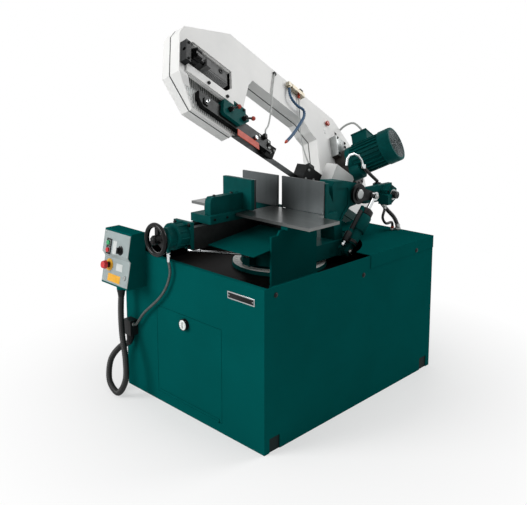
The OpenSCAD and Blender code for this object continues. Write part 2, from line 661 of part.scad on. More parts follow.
module cylinder_barrel() color("#0f4f4d") in_cylinder() difference() {
  union() {
    translate([-15, 0, 0]) rotate([0, 90, 0]) cylinder(r = 22, h = 30, $fn = 40);
    box([-15, -18, 0], [15, 18, 45]);
    translate([0, 0, 40]) cylinder(r = 30, h = 204, $fn = 48);
    translate([0, -46, 66]) cylinder(r = 10, h = 172, $fn = 32);
    for (z = [84, 214]) box([-8, -46, z], [8, -26, z + 16]);
  }
  translate([-30, 0, 0]) rotate([0, 90, 0]) cylinder(r = 9.06, h = 60, $fn = 40);
  translate([0, 0, 60]) cylinder(r = 22, h = 168, $fn = 48);
  translate([0, 0, 218]) cylinder(r = 11.06, h = 40, $fn = 40);
}

module cylinder_rod() color("#b9bdbb") in_cylinder() {
  translate([0, 0, 150]) cylinder(r = 11, h = cyl_len - 150 - 18, $fn = 40);
  translate([0, 0, 140]) cylinder(r = 21.5, h = 20, $fn = 48);
  difference() {
    translate([-9, 0, cyl_len]) rotate([0, 90, 0]) cylinder(r = 22, h = 18, $fn = 40);
    translate([-30, 0, cyl_len]) rotate([0, 90, 0]) cylinder(r = 12, h = 60, $fn = 40);
  }
}

module start_button() color("#2f8f4f") on_upper(-467, 738) cylinder(r = 11, h = 14, $fn = 32);
module stop_button() color("#c3282b") on_upper(-467, 704) cylinder(r = 11, h = 14, $fn = 32);
module mode_switch() color("#222425") on_upper(-372, 716) {
  translate([0, 0, 3.4]) cylinder(r = 14, h = 10, $fn = 32);
  translate([-4, -14, 12]) cube([8, 28, 12]);
}
module estop_button() color("#c3282b") on_lower(-470, 630) {
  cylinder(r = 12, h = 28, $fn = 32);
  translate([0, 0, 26]) cylinder(r1 = 21, r2 = 17, h = 16, $fn = 40);
}

base_frame();
front_panel();
right_panel();
back_panels();
chip_tray();
rear_deck();
turntable_base();
scale_ring();
vise_bed();
work_table();
table_support();
chip_chute();
fixed_jaw_plates();
jaw_support();
screw_housing();
console_case();
console_panel();
gland_box();
console_conduit();
vise_hose();
door();
door_latch();
movable_jaw();
jaw_face_plate();
vise_screw();
vise_handwheel();
swivel_frame();
lock_lever();
feed_valve();
feed_knob();
hose_lower();
cylinder_hose();
pivot_crank();
arm_frame();
wheel_cover();
hose_upper();
drive_wheel();
idler_wheel();
blade();
tension_slide();
tension_block();
tension_handwheel();
guide_bar();
guide_clamp();
clamp_lever_front();
clamp_lever_rear();
blade_guard();
rear_guide();
gearbox();
motor();
coolant_valve();
coolant_tap();
coolant_hose();
arm_lines();
cylinder_barrel();
cylinder_rod();
start_button();
stop_button();
mode_switch();
estop_button();
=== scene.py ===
"""Mitre band saw: finishes, fittings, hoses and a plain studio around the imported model."""

import logging
import math
from dataclasses import dataclass
from enum import Enum
from typing import Any, Callable, Optional, Sequence

import bmesh
import bpy
from mathutils import Matrix, Vector


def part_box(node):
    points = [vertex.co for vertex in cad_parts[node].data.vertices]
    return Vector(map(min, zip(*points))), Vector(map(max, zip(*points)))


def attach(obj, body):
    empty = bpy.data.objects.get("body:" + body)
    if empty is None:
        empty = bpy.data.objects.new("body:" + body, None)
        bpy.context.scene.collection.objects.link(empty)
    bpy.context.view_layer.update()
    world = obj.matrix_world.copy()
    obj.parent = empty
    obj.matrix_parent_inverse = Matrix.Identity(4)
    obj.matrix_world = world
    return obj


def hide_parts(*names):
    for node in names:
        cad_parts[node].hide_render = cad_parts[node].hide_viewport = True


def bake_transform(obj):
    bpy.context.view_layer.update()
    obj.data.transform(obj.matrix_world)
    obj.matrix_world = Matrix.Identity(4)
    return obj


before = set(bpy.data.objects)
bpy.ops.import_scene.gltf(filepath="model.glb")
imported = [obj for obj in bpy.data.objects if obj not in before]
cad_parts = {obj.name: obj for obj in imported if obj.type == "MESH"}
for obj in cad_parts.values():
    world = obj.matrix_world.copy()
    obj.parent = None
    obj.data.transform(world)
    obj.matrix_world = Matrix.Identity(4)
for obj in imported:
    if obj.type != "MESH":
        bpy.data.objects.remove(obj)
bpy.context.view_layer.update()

Point = Sequence[float]
MM = 0.001
AXIS_X, AXIS_Y, AXIS_Z = (1, 0, 0), (0, 1, 0), (0, 0, 1)
TO_FRONT = (0, -1, 0)
ROUND, HEX = 28, 6
log = logging.getLogger("band_saw")


def linear(code: str) -> tuple[float, float, float, float]:
    """Turn an sRGB hex colour into linear light.

    Args:
        code: colour such as "#0a5552".

    Returns:
        Linear red, green, blue and an alpha of one.
    """
    raw = [int(code[i:i + 2], 16) / 255 for i in (1, 3, 5)]
    low, mid, high = (c / 12.92 if c <= 0.04045 else ((c + 0.055) / 1.055) ** 2.4 for c in raw)
    return (low, mid, high, 1.0)


def per(mm: float) -> float:
    """Texture scale at which a feature is that many millimetres wide."""
    return 1.0 / (mm * MM)


def add_node(tree: bpy.types.NodeTree, kind: str, settings: Optional[dict[Any, Any]] = None,
             links: Optional[dict[Any, Any]] = None) -> bpy.types.Node:
    """Add one node with its settings and links.

    Args:
        tree: node tree that takes the node.
        kind: Blender's name of the node type.
        settings: values by property name, or by socket name or number.
        links: output sockets by the name or number of the socket that they feed.

    Returns:
        The new node.
    """
    node = tree.nodes.new(kind)
    for key, value in (settings or {}).items():
        if isinstance(key, str) and hasattr(node, key):
            setattr(node, key, value)
        else:
            node.inputs[key].default_value = value
    for key, socket in (links or {}).items():
        tree.links.new(socket, node.inputs[key])
    return node


def bare_tree(owner: bpy.types.ID) -> bpy.types.NodeTree:
    """Switch a material or a world to nodes.

    Args:
        owner: material or world.

    Returns:
        Its node tree, emptied.
    """
    owner.use_nodes = True
    owner.node_tree.nodes.clear()
    return owner.node_tree


def put(name: str, data: bpy.types.ID) -> bpy.types.Object:
    """Make an object and link it to the scene.

    Args:
        name: name of the object.
        data: its mesh, lamp or camera.

    Returns:
        The object, at the origin.
    """
    made = bpy.data.objects.new(name, data)
    bpy.context.scene.collection.objects.link(made)
    return made


class Lay(Enum):
    """Direction in which a metal surface was ground or brushed."""

    NONE = (1.0, 1.0, 1.0)
    ALONG_X = (0.04, 1.0, 1.0)
    ALONG_Y = (1.0, 0.04, 1.0)
    ALONG_Z = (1.0, 1.0, 0.04)


class Part(Enum):
    """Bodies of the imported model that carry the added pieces."""

    CABINET = "cabinet"
    LATCH = "latch"
    JAW = "jaw"
    SCREW = "screw"
    SWIVEL = "swivel"
    LOCK = "lock_lever"
    ARM = "arm"
    SLIDE = "tension_slide"
    GUIDE = "guide"
    CLAMP_FRONT = "clamp_front"
    CLAMP_REAR = "clamp_rear"
    CYLINDER = "cylinder"
    FEED = "feed_knob"
    ESTOP = "estop"


@dataclass(frozen=True)
class Finish:
    """A surface with a colour that drifts to a second tone, and a fine relief."""

    name: str
    colour: str
    tone: str
    roughness: float
    grain_mm: float = 2.0
    grain: float = 0.05
    drift_mm: float = 90.0
    drift: float = 0.35
    gloss_swing: float = 0.06
    specular: float = 0.4

    # Part of the drift's noise over which the second tone comes in.
    SPAN = (0.35, 0.75)
    # Depth of the relief as a share of the grain's width.
    DEPTH = 0.3

    def material(self) -> bpy.types.Material:
        """Make the material once, and give the same one at every later call.

        Returns:
            The material.
        """
        known = bpy.data.materials.get(self.name)
        if known is not None:
            return known
        made = bpy.data.materials.new(self.name)
        tree = bare_tree(made)
        coord = add_node(tree, "ShaderNodeTexCoord")
        shader = add_node(tree, "ShaderNodeBsdfPrincipled", self.shine())
        add_node(tree, "ShaderNodeOutputMaterial", links={"Surface": shader.outputs[0]})
        self.dress(tree, shader, coord)
        return made

    def shine(self) -> dict[str, float]:
        """Values of the shader that are the same all over the surface."""
        return {"Roughness": self.roughness, "Specular IOR Level": self.specular}

    def dress(self, tree: bpy.types.NodeTree, shader: bpy.types.Node,
              coord: bpy.types.Node) -> None:
        """Give the shader its colour drift, gloss and relief."""
        self.colour_and_relief(tree, shader, coord.outputs["Object"])

    def colour_and_relief(self, tree: bpy.types.NodeTree, shader: bpy.types.Node,
                          place: bpy.types.NodeSocket) -> None:
        """Link drift, gloss and relief read from one coordinate.

        Args:
            tree: node tree of the material.
            shader: its principled shader.
            place: coordinate that the patterns follow.
        """
        drift = add_node(tree, "ShaderNodeTexNoise",
                         {"Scale": per(self.drift_mm), "Detail": 4.0, "Roughness": 0.6},
                         {"Vector": place})
        low, high = self.SPAN
        amount = add_node(tree, "ShaderNodeMapRange",
                          {"From Min": low, "From Max": high, "To Min": 0.0, "To Max": self.drift},
                          {"Value": drift.outputs["Fac"]})
        # Sockets 6 and 7 of the mix node take its two colours.
        tint = add_node(tree, "ShaderNodeMix",
                        {"data_type": "RGBA", 6: linear(self.colour), 7: linear(self.tone)},
                        {0: amount.outputs[0]})
        tree.links.new(tint.outputs[2], shader.inputs["Base Color"])
        fine = add_node(tree, "ShaderNodeTexNoise", {"Scale": per(self.grain_mm), "Detail": 3.0},
                        {"Vector": place})
        gloss = add_node(tree, "ShaderNodeMapRange",
                         {"To Min": self.roughness - self.gloss_swing,
                          "To Max": self.roughness + self.gloss_swing},
                         {"Value": drift.outputs["Fac"]})
        tree.links.new(gloss.outputs[0], shader.inputs["Roughness"])
        relief = add_node(tree, "ShaderNodeBump",
                          {"Strength": self.grain, "Distance": self.DEPTH * self.grain_mm * MM},
                          {"Height": fine.outputs["Fac"]})
        tree.links.new(relief.outputs[0], shader.inputs["Normal"])


@dataclass(frozen=True)
class Enamel(Finish):
    """Sprayed machine enamel: an even coat with a slight orange peel, glossy where it is new."""

    coat: float = 0.0
    coat_roughness: float = 0.22
    specular: float = 0.22

    def shine(self) -> dict[str, float]:
        """Values of the enamel, with its clear coat."""
        return {**super().shine(), "Coat Weight": self.coat, "Coat Roughness": self.coat_roughness}


@dataclass(frozen=True)
class Metal(Finish):
    """Bare metal, ground, brushed or turned, with streaks along its lay."""

    lay: Lay = Lay.NONE

    def shine(self) -> dict[str, float]:
        """Values of a bare metal."""
        return {**super().shine(), "Metallic": 1.0}

    def dress(self, tree: bpy.types.NodeTree, shader: bpy.types.Node,
              coord: bpy.types.Node) -> None:
        """Give the shader metal streaks along the lay."""
        turned = add_node(tree, "ShaderNodeMapping", {"Scale": self.lay.value},
                          {"Vector": coord.outputs["Object"]})
        self.colour_and_relief(tree, shader, turned.outputs[0])


@dataclass(frozen=True)
class Banded(Finish):
    """Hose skin with rings or braid steps that follow its length on the UV map."""

    pitch_mm: float = 6.0
    metallic: float = 0.0
    step: float = 0.5

    # Depth of the steps as a share of their pitch.
    STEP_DEPTH = 0.12

    def shine(self) -> dict[str, float]:
        """Values of the hose's skin."""
        return {**super().shine(), "Metallic": self.metallic}

    def dress(self, tree: bpy.types.NodeTree, shader: bpy.types.Node,
              coord: bpy.types.Node) -> None:
        """Give the shader steps along the hose over the drift of its skin.

        Args:
            tree: node tree of the material.
            shader: its principled shader.
            coord: its texture coordinate node.
        """
        self.colour_and_relief(tree, shader, coord.outputs["Object"])
        # The wave node repeats every pi/10 at a scale of one.
        wave = add_node(tree, "ShaderNodeTexWave",
                        {"Scale": per(self.pitch_mm) * math.pi / 10, "Distortion": 0.0},
                        {"Vector": coord.outputs["UV"]})
        rings = add_node(tree, "ShaderNodeBump",
                         {"Strength": self.step, "Distance": self.STEP_DEPTH * self.pitch_mm * MM},
                         {"Height": wave.outputs["Fac"],
                          "Normal": shader.inputs["Normal"].links[0].from_socket})
        tree.links.new(rings.outputs[0], shader.inputs["Normal"])


class Stock:
    """Every finish on the saw."""

    # Stoved enamel on sheet: deep blue-green, smooth and matt, with broad tones.
    GREEN_SHEET = Enamel("green_enamel_sheet", "#03514f", "#034644", 0.46, 3.0, 0.05, 260.0, 0.5,
                         specular=0.0)
    # The same enamel on castings: nearly matt, the sand skin shows as a coarse relief.
    GREEN_CAST = Enamel("green_enamel_casting", "#064f4d", "#053b3a", 0.46, 4.0, 0.14, 70.0, 0.6,
                        specular=0.03)
    # White enamel on the welded bow: bright, faintly grey in its drift.
    WHITE = Enamel("white_enamel", "#e8e8e6", "#dcdddc", 0.40, 3.5, 0.06, 180.0, 0.6)
    # Dark green-grey hammered enamel on the inner frame.
    FRAME_GREY = Enamel("frame_enamel", "#0b1a1a", "#081212", 0.55, 5.0, 0.2, 80.0, 0.5,
                        specular=0.1)
    # Tray sheet, oiled by coolant: nearly black with brown streaks.
    TRAY = Enamel("oiled_tray_sheet", "#0a0909", "#171310", 0.46, 6.0, 0.1, 140.0, 0.7,
                  specular=0.03)
    # Grey cast iron with an oil film: dark, patchy, half dull.
    IRON = Metal("cast_iron_oiled", "#3a3b3b", "#232423", 0.48, 5.0, 0.2, 45.0, 0.7)
    # White lacquered ring with a dull shine.
    SCALE = Enamel("scale_lacquer", "#f4f4f0", "#e2e2dc", 0.35, 3.0, 0.03, 40.0, 0.4)
    # Black print on the ring: flat and dull.
    INK = Finish("scale_ink", "#161616", "#2a2a2a", 0.6)
    # Ground tool steel: grey with long fine grinding streaks.
    TABLE = Metal("ground_table_steel", "#777978", "#5d605f", 0.30, 9.0, 0.05, 70.0, 0.6,
                  lay=Lay.ALONG_X)
    # Darker ground jaw steel, streaked upright.
    JAW = Metal("ground_jaw_steel", "#595d5e", "#434748", 0.38, 8.0, 0.06, 60.0, 0.7,
                lay=Lay.ALONG_Z)
    # Galvanised sheet: mid grey, cloudy in patches of a few centimetres.
    SHEET = Metal("galvanised_sheet", "#858a8a", "#6c7070", 0.46, 12.0, 0.08, 30.0, 0.5)
    # Turned bright steel: pale, with a clear shine.
    BRIGHT = Metal("turned_steel", "#b9bcbd", "#8f9394", 0.25, 1.5, 0.05, 20.0, 0.5)
    # Zinc-plated fasteners, soft grey.
    ZINC = Metal("zinc_plate", "#a7aaa8", "#7e817f", 0.35, 1.5, 0.06, 12.0, 0.5)
    # Hard chrome on rods and levers: bright and mirror-like.
    CHROME = Metal("hard_chrome", "#d7dadb", "#b4b8ba", 0.10, 2.0, 0.02, 30.0, 0.4)
    # Blackened steel: warm black with a low metal shine.
    BLACKED = Metal("blackened_steel", "#262727", "#171818", 0.42, 3.0, 0.1, 25.0, 0.6)
    # Saw band: dark spring steel, streaked along.
    BAND = Metal("band_steel", "#5b5d5d", "#3d3f40", 0.32, 5.0, 0.06, 30.0, 0.7, lay=Lay.ALONG_Y)
    # Slide of the tightener: dull grey phosphated steel.
    SLIDE = Enamel("phosphated_slide_steel", "#5c5d5d", "#4a4b4b", 0.5, 4.0, 0.1, 26.0, 0.6)
    # Die-cast aluminium with a dull grey skin.
    ALLOY = Metal("cast_aluminium", "#a9acab", "#85898a", 0.45, 3.0, 0.12, 30.0, 0.5)
    # Nickel-plated brass fittings, worn to a warm grey.
    NICKEL = Metal("worn_nickel_plate", "#b3aea2", "#8d7f5f", 0.30, 2.0, 0.08, 12.0, 0.8)
    # Moulded black phenolic: glossy hand wheels and knobs.
    PHENOLIC = Finish("black_phenolic", "#0b0c0d", "#151718", 0.20, 2.0, 0.03, 30.0, 0.4,
                      specular=0.16)
    # Moulded black ABS: satin boxes and caps.
    BLACK_ABS = Finish("black_abs", "#111314", "#1b1e1f", 0.45, 0.9, 0.12, 40.0, 0.4, specular=0.2)
    # Silver-grey panel film on sheet: even, with a thin clear coat.
    PANEL = Enamel("silver_panel_film", "#96a1a1", "#87918f", 0.42, 1.2, 0.05, 60.0, 0.5, coat=0.1)
    # Pale label film: smooth, off-white.
    PALE_FILM = Enamel("pale_label_film", "#c9cdcb", "#b3b8b6", 0.45, 1.2, 0.04, 24.0, 0.5,
                       coat=0.1)
    # Signal yellow film and plastic: warm, with a thin clear coat.
    YELLOW = Enamel("signal_yellow_film", "#e2a72c", "#c98e1f", 0.42, 1.2, 0.05, 26.0, 0.5,
                    coat=0.1)
    # Red moulded push-button plastic: satin gloss.
    RED = Finish("red_button_plastic", "#c3262b", "#9e1b20", 0.32, 1.0, 0.04, 18.0, 0.5)
    # Green moulded push-button plastic: satin gloss.
    GREEN_CAP = Finish("green_button_plastic", "#2f9d63", "#22794b", 0.32, 1.0, 0.04, 14.0, 0.5)
    # White moulded latch cap: faintly green, satin.
    LATCH = Finish("white_latch_plastic", "#dfe5e2", "#c3cbc8", 0.36, 1.0, 0.04, 20.0, 0.4)
    # Dark strip along the joint of frame and cover, matt charcoal: painted shade of the narrow gap
    # between them.
    SEAM_SHADE = Finish("painted_seam_shade", "#35383a", "#25282a", 0.75, 1.2, 0.2, 20.0, 0.5)
    # Wire grille under grey paint: half dull.
    FAN = Enamel("fan_grille_paint", "#4c5657", "#394243", 0.48, 2.0, 0.1, 30.0, 0.5)
    # Unpainted gear case behind its plate: dark, oily grey-brown.
    CASE = Enamel("oily_gear_case", "#34302d", "#211f1d", 0.5, 5.0, 0.2, 45.0, 0.6)
    # Orange lacquer on the guard strip: worn to darker patches.
    ORANGE = Enamel("orange_lacquer", "#c4452a", "#a2341f", 0.42, 2.5, 0.08, 30.0, 0.6)
    # Red moulded phenolic of lever balls and knobs: glossy.
    RED_BALL = Finish("red_phenolic", "#b8402d", "#8f2d20", 0.30, 1.5, 0.04, 14.0, 0.5)
    # Ribbed polymer conduit: charcoal with dust between the ribs.
    CONDUIT = Finish("ribbed_conduit_polymer", "#141515", "#2a2b29", 0.40, 2.0, 0.1, 50.0, 0.6,
                     specular=0.3)
    # Braided steel hose: dark grey with a step at every crossing of the wires.
    BRAID = Banded("braided_steel_sleeve", "#5d6361", "#2b302f", 0.40, 2.0, 0.2, 9.0, 0.7,
                   pitch_mm=9.0, metallic=0.7)
    # Black rubber hydraulic hose: dull, with shallow rings from its wrapping.
    RUBBER = Banded("hydraulic_rubber", "#1a1a1b", "#2d2d2d", 0.50, 1.6, 0.15, 30.0, 0.5,
                    pitch_mm=9.0)
    # Blue moulded acetal of the segmented coolant hose: satin.
    BLUE = Finish("blue_acetal", "#1d4f74", "#163c59", 0.36, 1.5, 0.05, 20.0, 0.5)
    # Pale grey soft PVC line: satin, faintly wavy along its length.
    LINE = Banded("grey_pvc_line", "#b9bcba", "#9a9d9b", 0.42, 1.5, 0.05, 30.0, 0.5, pitch_mm=14.0)


def axis_frame(origin: Point, along: Point) -> Matrix:
    """Matrix that puts the Z axis of a shape along a direction at a point.

    Args:
        origin: point in millimetres.
        along: direction of the new Z axis.

    Returns:
        Rigid matrix.
    """
    turn = Vector(along).to_track_quat("Z", "Y").to_matrix().to_4x4()
    return Matrix.Translation(Vector(origin)) @ turn


def basis(x: Point, y: Point, z: Point, origin: Point) -> Matrix:
    """Matrix with the given three axes and origin."""
    return Matrix([[x[i], y[i], z[i], origin[i]] for i in range(3)] + [[0, 0, 0, 1]])


class Bow:
    """Leaning frame of the saw bow: u runs forward, v up across it, n out of its open face."""

    PIVOT = Vector((0.0, 300.0, 930.0))
    # Height of the pivot over the bow's own origin.
    DROP = 34.947
    U = Vector((0.0, -math.sqrt(0.75), 0.5))
    V = Vector((-0.5, math.sqrt(0.75) / 2, 0.75))
    N = Vector((math.sqrt(0.75), 0.25, math.sqrt(0.75) / 2))

    @classmethod
    def matrix(cls) -> Matrix:
        """Matrix from bow sizes (u, v, n) to the shared frame, in millimetres."""
        base = cls.PIVOT + Vector((0.0, -0.5 * cls.DROP, -math.sqrt(0.75) * cls.DROP))
        return basis(cls.U, cls.V, cls.N, base)

    @classmethod
    def at(cls, u: float, v: float, n: float) -> Vector:
        """Point of the bow in the shared frame, in millimetres."""
        return cls.matrix() @ Vector((u, v, n))


class Shape:
    """One piece in the making: operator-built shapes in millimetres, joined in order."""

    # Points nearer than this are one, in millimetres.
    MERGE = 1e-3
    # Edges that turn by more than this are rounded, in radians.
    SHARP = 0.6

    def __init__(self, place: Optional[Matrix] = None) -> None:
        """Start an empty piece whose shapes are given in the frame of a matrix."""
        self.place = place or Matrix()
        self.body = bmesh.new()

    @classmethod
    def on_bow(cls) -> "Shape":
        """Start an empty piece in the bow's sizes (u, v, n)."""
        return cls(Bow.matrix())

    def join(self, part: bmesh.types.BMesh, local: Optional[Matrix] = None) -> "Shape":
        """Add a finished bmesh to the piece.

        Args:
            part: bmesh in millimetres, freed here.
            local: its place within the piece's frame.

        Returns:
            The piece, for the next shape.
        """
        bmesh.ops.remove_doubles(part, verts=part.verts, dist=self.MERGE)
        bmesh.ops.recalc_face_normals(part, faces=part.faces)
        where = self.place @ (local or Matrix())
        part.transform(where)
        if where.determinant() < 0:
            bmesh.ops.reverse_faces(part, faces=part.faces)
        scratch = bpy.data.meshes.new("scratch")
        part.to_mesh(scratch)
        part.free()
        self.body.from_mesh(scratch)
        bpy.data.meshes.remove(scratch)
        return self

    @classmethod
    def soften(cls, part: bmesh.types.BMesh, edge: float) -> None:
        """Round the sharp edges of a bmesh.

        Args:
            part: bmesh to change.
            edge: width of the rounding, in millimetres.
        """
        if edge <= 0:
            return
        sharp = [e for e in part.edges
                 if len(e.link_faces) == 2 and e.calc_face_angle(0) > cls.SHARP]
        bmesh.ops.bevel(part, geom=sharp, offset=edge, offset_type="OFFSET", segments=2,
                        profile=0.5, affect="EDGES", material=-1, clamp_overlap=True)

    def block(self, low: Point, high: Point, edge: float = 0.0,
              local: Optional[Matrix] = None) -> "Shape":
        """Add a box between two corners.

        Args:
            low: lowest corner.
            high: highest corner.
            edge: rounding of its edges.
            local: its place within the piece's frame.

        Returns:
            The piece, for the next shape.
        """
        part = bmesh.new()
        bmesh.ops.create_cube(part, size=1.0)
        a, b = Vector(low), Vector(high)
        bmesh.ops.scale(part, vec=b - a, verts=part.verts)
        bmesh.ops.translate(part, vec=(a + b) / 2, verts=part.verts)
        self.soften(part, edge)
        return self.join(part, local)

    def rod(self, start: Point, end: Point, radius: float, far: Optional[float] = None,
            sides: int = ROUND, edge: float = 0.0) -> "Shape":
        """Add a bar or cone from one point to another.

        Args:
            start: middle of the first end.
            end: middle of the other end.
            radius: radius at the first end.
            far: radius at the other end, where it differs.
            sides: facets round it.
            edge: rounding of its rims.

        Returns:
            The piece, for the next shape.
        """
        a, b = Vector(start), Vector(end)
        part = bmesh.new()
        bmesh.ops.create_cone(part, cap_ends=True, segments=sides, radius1=radius,
                              radius2=radius if far is None else far, depth=(b - a).length)
        self.soften(part, edge)
        return self.join(part, axis_frame((a + b) / 2, b - a))

    def stack(self, foot: Point, along: Point, bars: Sequence[Sequence[Any]]) -> "Shape":
        """Add bars on one axis.

        Args:
            foot: point of the axis from which lengths count.
            along: direction of the axis, of length one.
            bars: start, end, radius, sides and edge of each bar.

        Returns:
            The piece, for the next shape.
        """
        base, way = Vector(foot), Vector(along)
        for start, end, radius, sides, edge in bars:
            self.rod(base + way * start, base + way * end, radius, sides=sides, edge=edge)
        return self

    def lathe(self, profile: Sequence[Point], origin: Point = (0, 0, 0), along: Point = AXIS_Z,
              steps: int = 36, closed: bool = False) -> "Shape":
        """Turn a profile of (radius, height) points about an axis.

        Args:
            profile: points from the bottom to the top.
            origin: foot of the axis.
            along: direction of the axis.
            steps: facets round the axis.
            closed: whether the profile's ends join, for a ring.

        Returns:
            The piece, for the next shape.
        """
        part = bmesh.new()
        line = [part.verts.new((r, 0.0, h)) for r, h in profile]
        pairs = list(zip(line, line[1:])) + ([(line[-1], line[0])] if closed else [])
        edges = [part.edges.new(pair) for pair in pairs]
        bmesh.ops.spin(part, geom=[*line, *edges], cent=(0, 0, 0), axis=AXIS_Z,
                       angle=math.tau, steps=steps, use_merge=True, use_duplicate=False)
        return self.join(part, axis_frame(origin, along))

    def ring(self, origin: Point, along: Point, major: float, minor: float,
             steps: int = 36) -> "Shape":
        """Add a round ring about an axis.

        Args:
            origin: middle of the ring.
            along: direction of its axis.
            major: radius of its middle line.
            minor: radius of its section.
            steps: facets round the axis.

        Returns:
            The piece, for the next shape.
        """
        turn = [(major + minor * math.cos(a), minor * math.sin(a))
                for a in (math.tau * i / 10 for i in range(10))]
        return self.lathe(turn, origin, along, steps, closed=True)

    def prism(self, outline: Sequence[Point], low: float, high: float, edge: float = 0.0,
              local: Optional[Matrix] = None) -> "Shape":
        """Extrude an outline between two heights.

        Args:
            outline: (x, y) points in order.
            low: lower height.
            high: upper height.
            edge: rounding of its edges.
            local: its place within the piece's frame.

        Returns:
            The piece, for the next shape.
        """
        part = bmesh.new()
        face = part.faces.new([part.verts.new((x, y, low)) for x, y in outline])
        grown = bmesh.ops.extrude_face_region(part, geom=[face])["geom"]
        bmesh.ops.translate(part, vec=(0, 0, high - low),
                            verts=[v for v in grown if isinstance(v, bmesh.types.BMVert)])
        self.soften(part, edge)
        return self.join(part, local)

    def ball(self, centre: Point, radius: float) -> "Shape":
        """Add a ball.

        Args:
            centre: its middle.
            radius: its radius.

        Returns:
            The piece, for the next shape.
        """
        part = bmesh.new()
        bmesh.ops.create_uvsphere(part, u_segments=20, v_segments=12, radius=radius)
        return self.join(part, Matrix.Translation(Vector(centre)))

    def cap_screws(self, feet: Sequence[Point], radius: float, along: Point = AXIS_Z) -> "Shape":
        """Add socket-head screws: heads with a bevelled rim and a round recess.

        Args:
            feet: middles of the heads' undersides.
            radius: radius of a head.
            along: direction in which the heads stand.

        Returns:
            The piece, for the next shape.
        """
        r, h = radius, radius * 1.1
        head = [(r, 0), (r, h * 0.85), (r * 0.88, h), (r * 0.55, h), (r * 0.55, h * 0.45),
                (0, h * 0.40)]
        for foot in feet:
            self.lathe(head, foot, along, 20)
        return self

    def hex_bolts(self, feet: Sequence[Point], radius: float, along: Point = AXIS_Z) -> "Shape":
        """Add hexagon bolt heads on washers.

        Args:
            feet: middles of the washers' undersides.
            radius: radius of a head over its corners.
            along: direction in which the heads stand.

        Returns:
            The piece, for the next shape.
        """
        way = Vector(along).normalized() * radius
        for foot in map(Vector, feet):
            self.rod(foot, foot + way * 0.25, radius * 1.35, sides=20, edge=radius * 0.06)
            self.rod(foot + way * 0.2, foot + way * 0.95, radius, sides=HEX, edge=radius * 0.12)
        return self

    def domes(self, feet: Sequence[Point], radius: float, height: float,
              along: Point = AXIS_Z) -> "Shape":
        """Add low domed heads.

        Args:
            feet: middles of the heads' undersides.
            radius: radius of a head.
            height: its height.
            along: direction in which the heads stand.

        Returns:
            The piece, for the next shape.
        """
        arc = [(radius * math.cos(a), height * math.sin(a))
               for a in (math.pi / 2 * i / 6 for i in range(7))]
        for foot in feet:
            self.lathe(arc, foot, along, 24)
        return self

    def done(self, name: str, finish: Finish, part: Optional[Part],
             crease: float = 38.0) -> bpy.types.Object:
        """Close the piece: mesh in metres, shading, finish and the body that carries it.

        Args:
            name: name of the piece.
            finish: its surface.
            part: body that carries it, or nothing to leave it unattached.
            crease: angle in degrees past which an edge stays sharp.

        Returns:
            The object.
        """
        self.body.transform(Matrix.Scale(MM, 4))
        for face in self.body.faces:
            face.smooth = True
        for e in self.body.edges:
            e.smooth = len(e.link_faces) == 2 and e.calc_face_angle(0) < math.radians(crease)
        mesh = bpy.data.meshes.new(name)
        self.body.to_mesh(mesh)
        self.body.free()
        made = put(name, mesh)
        mesh.materials.append(finish.material())
        if part is not None:
            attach(made, part.value)
        log.info("piece %s on %s", name, part.value if part else "blend")
        return made


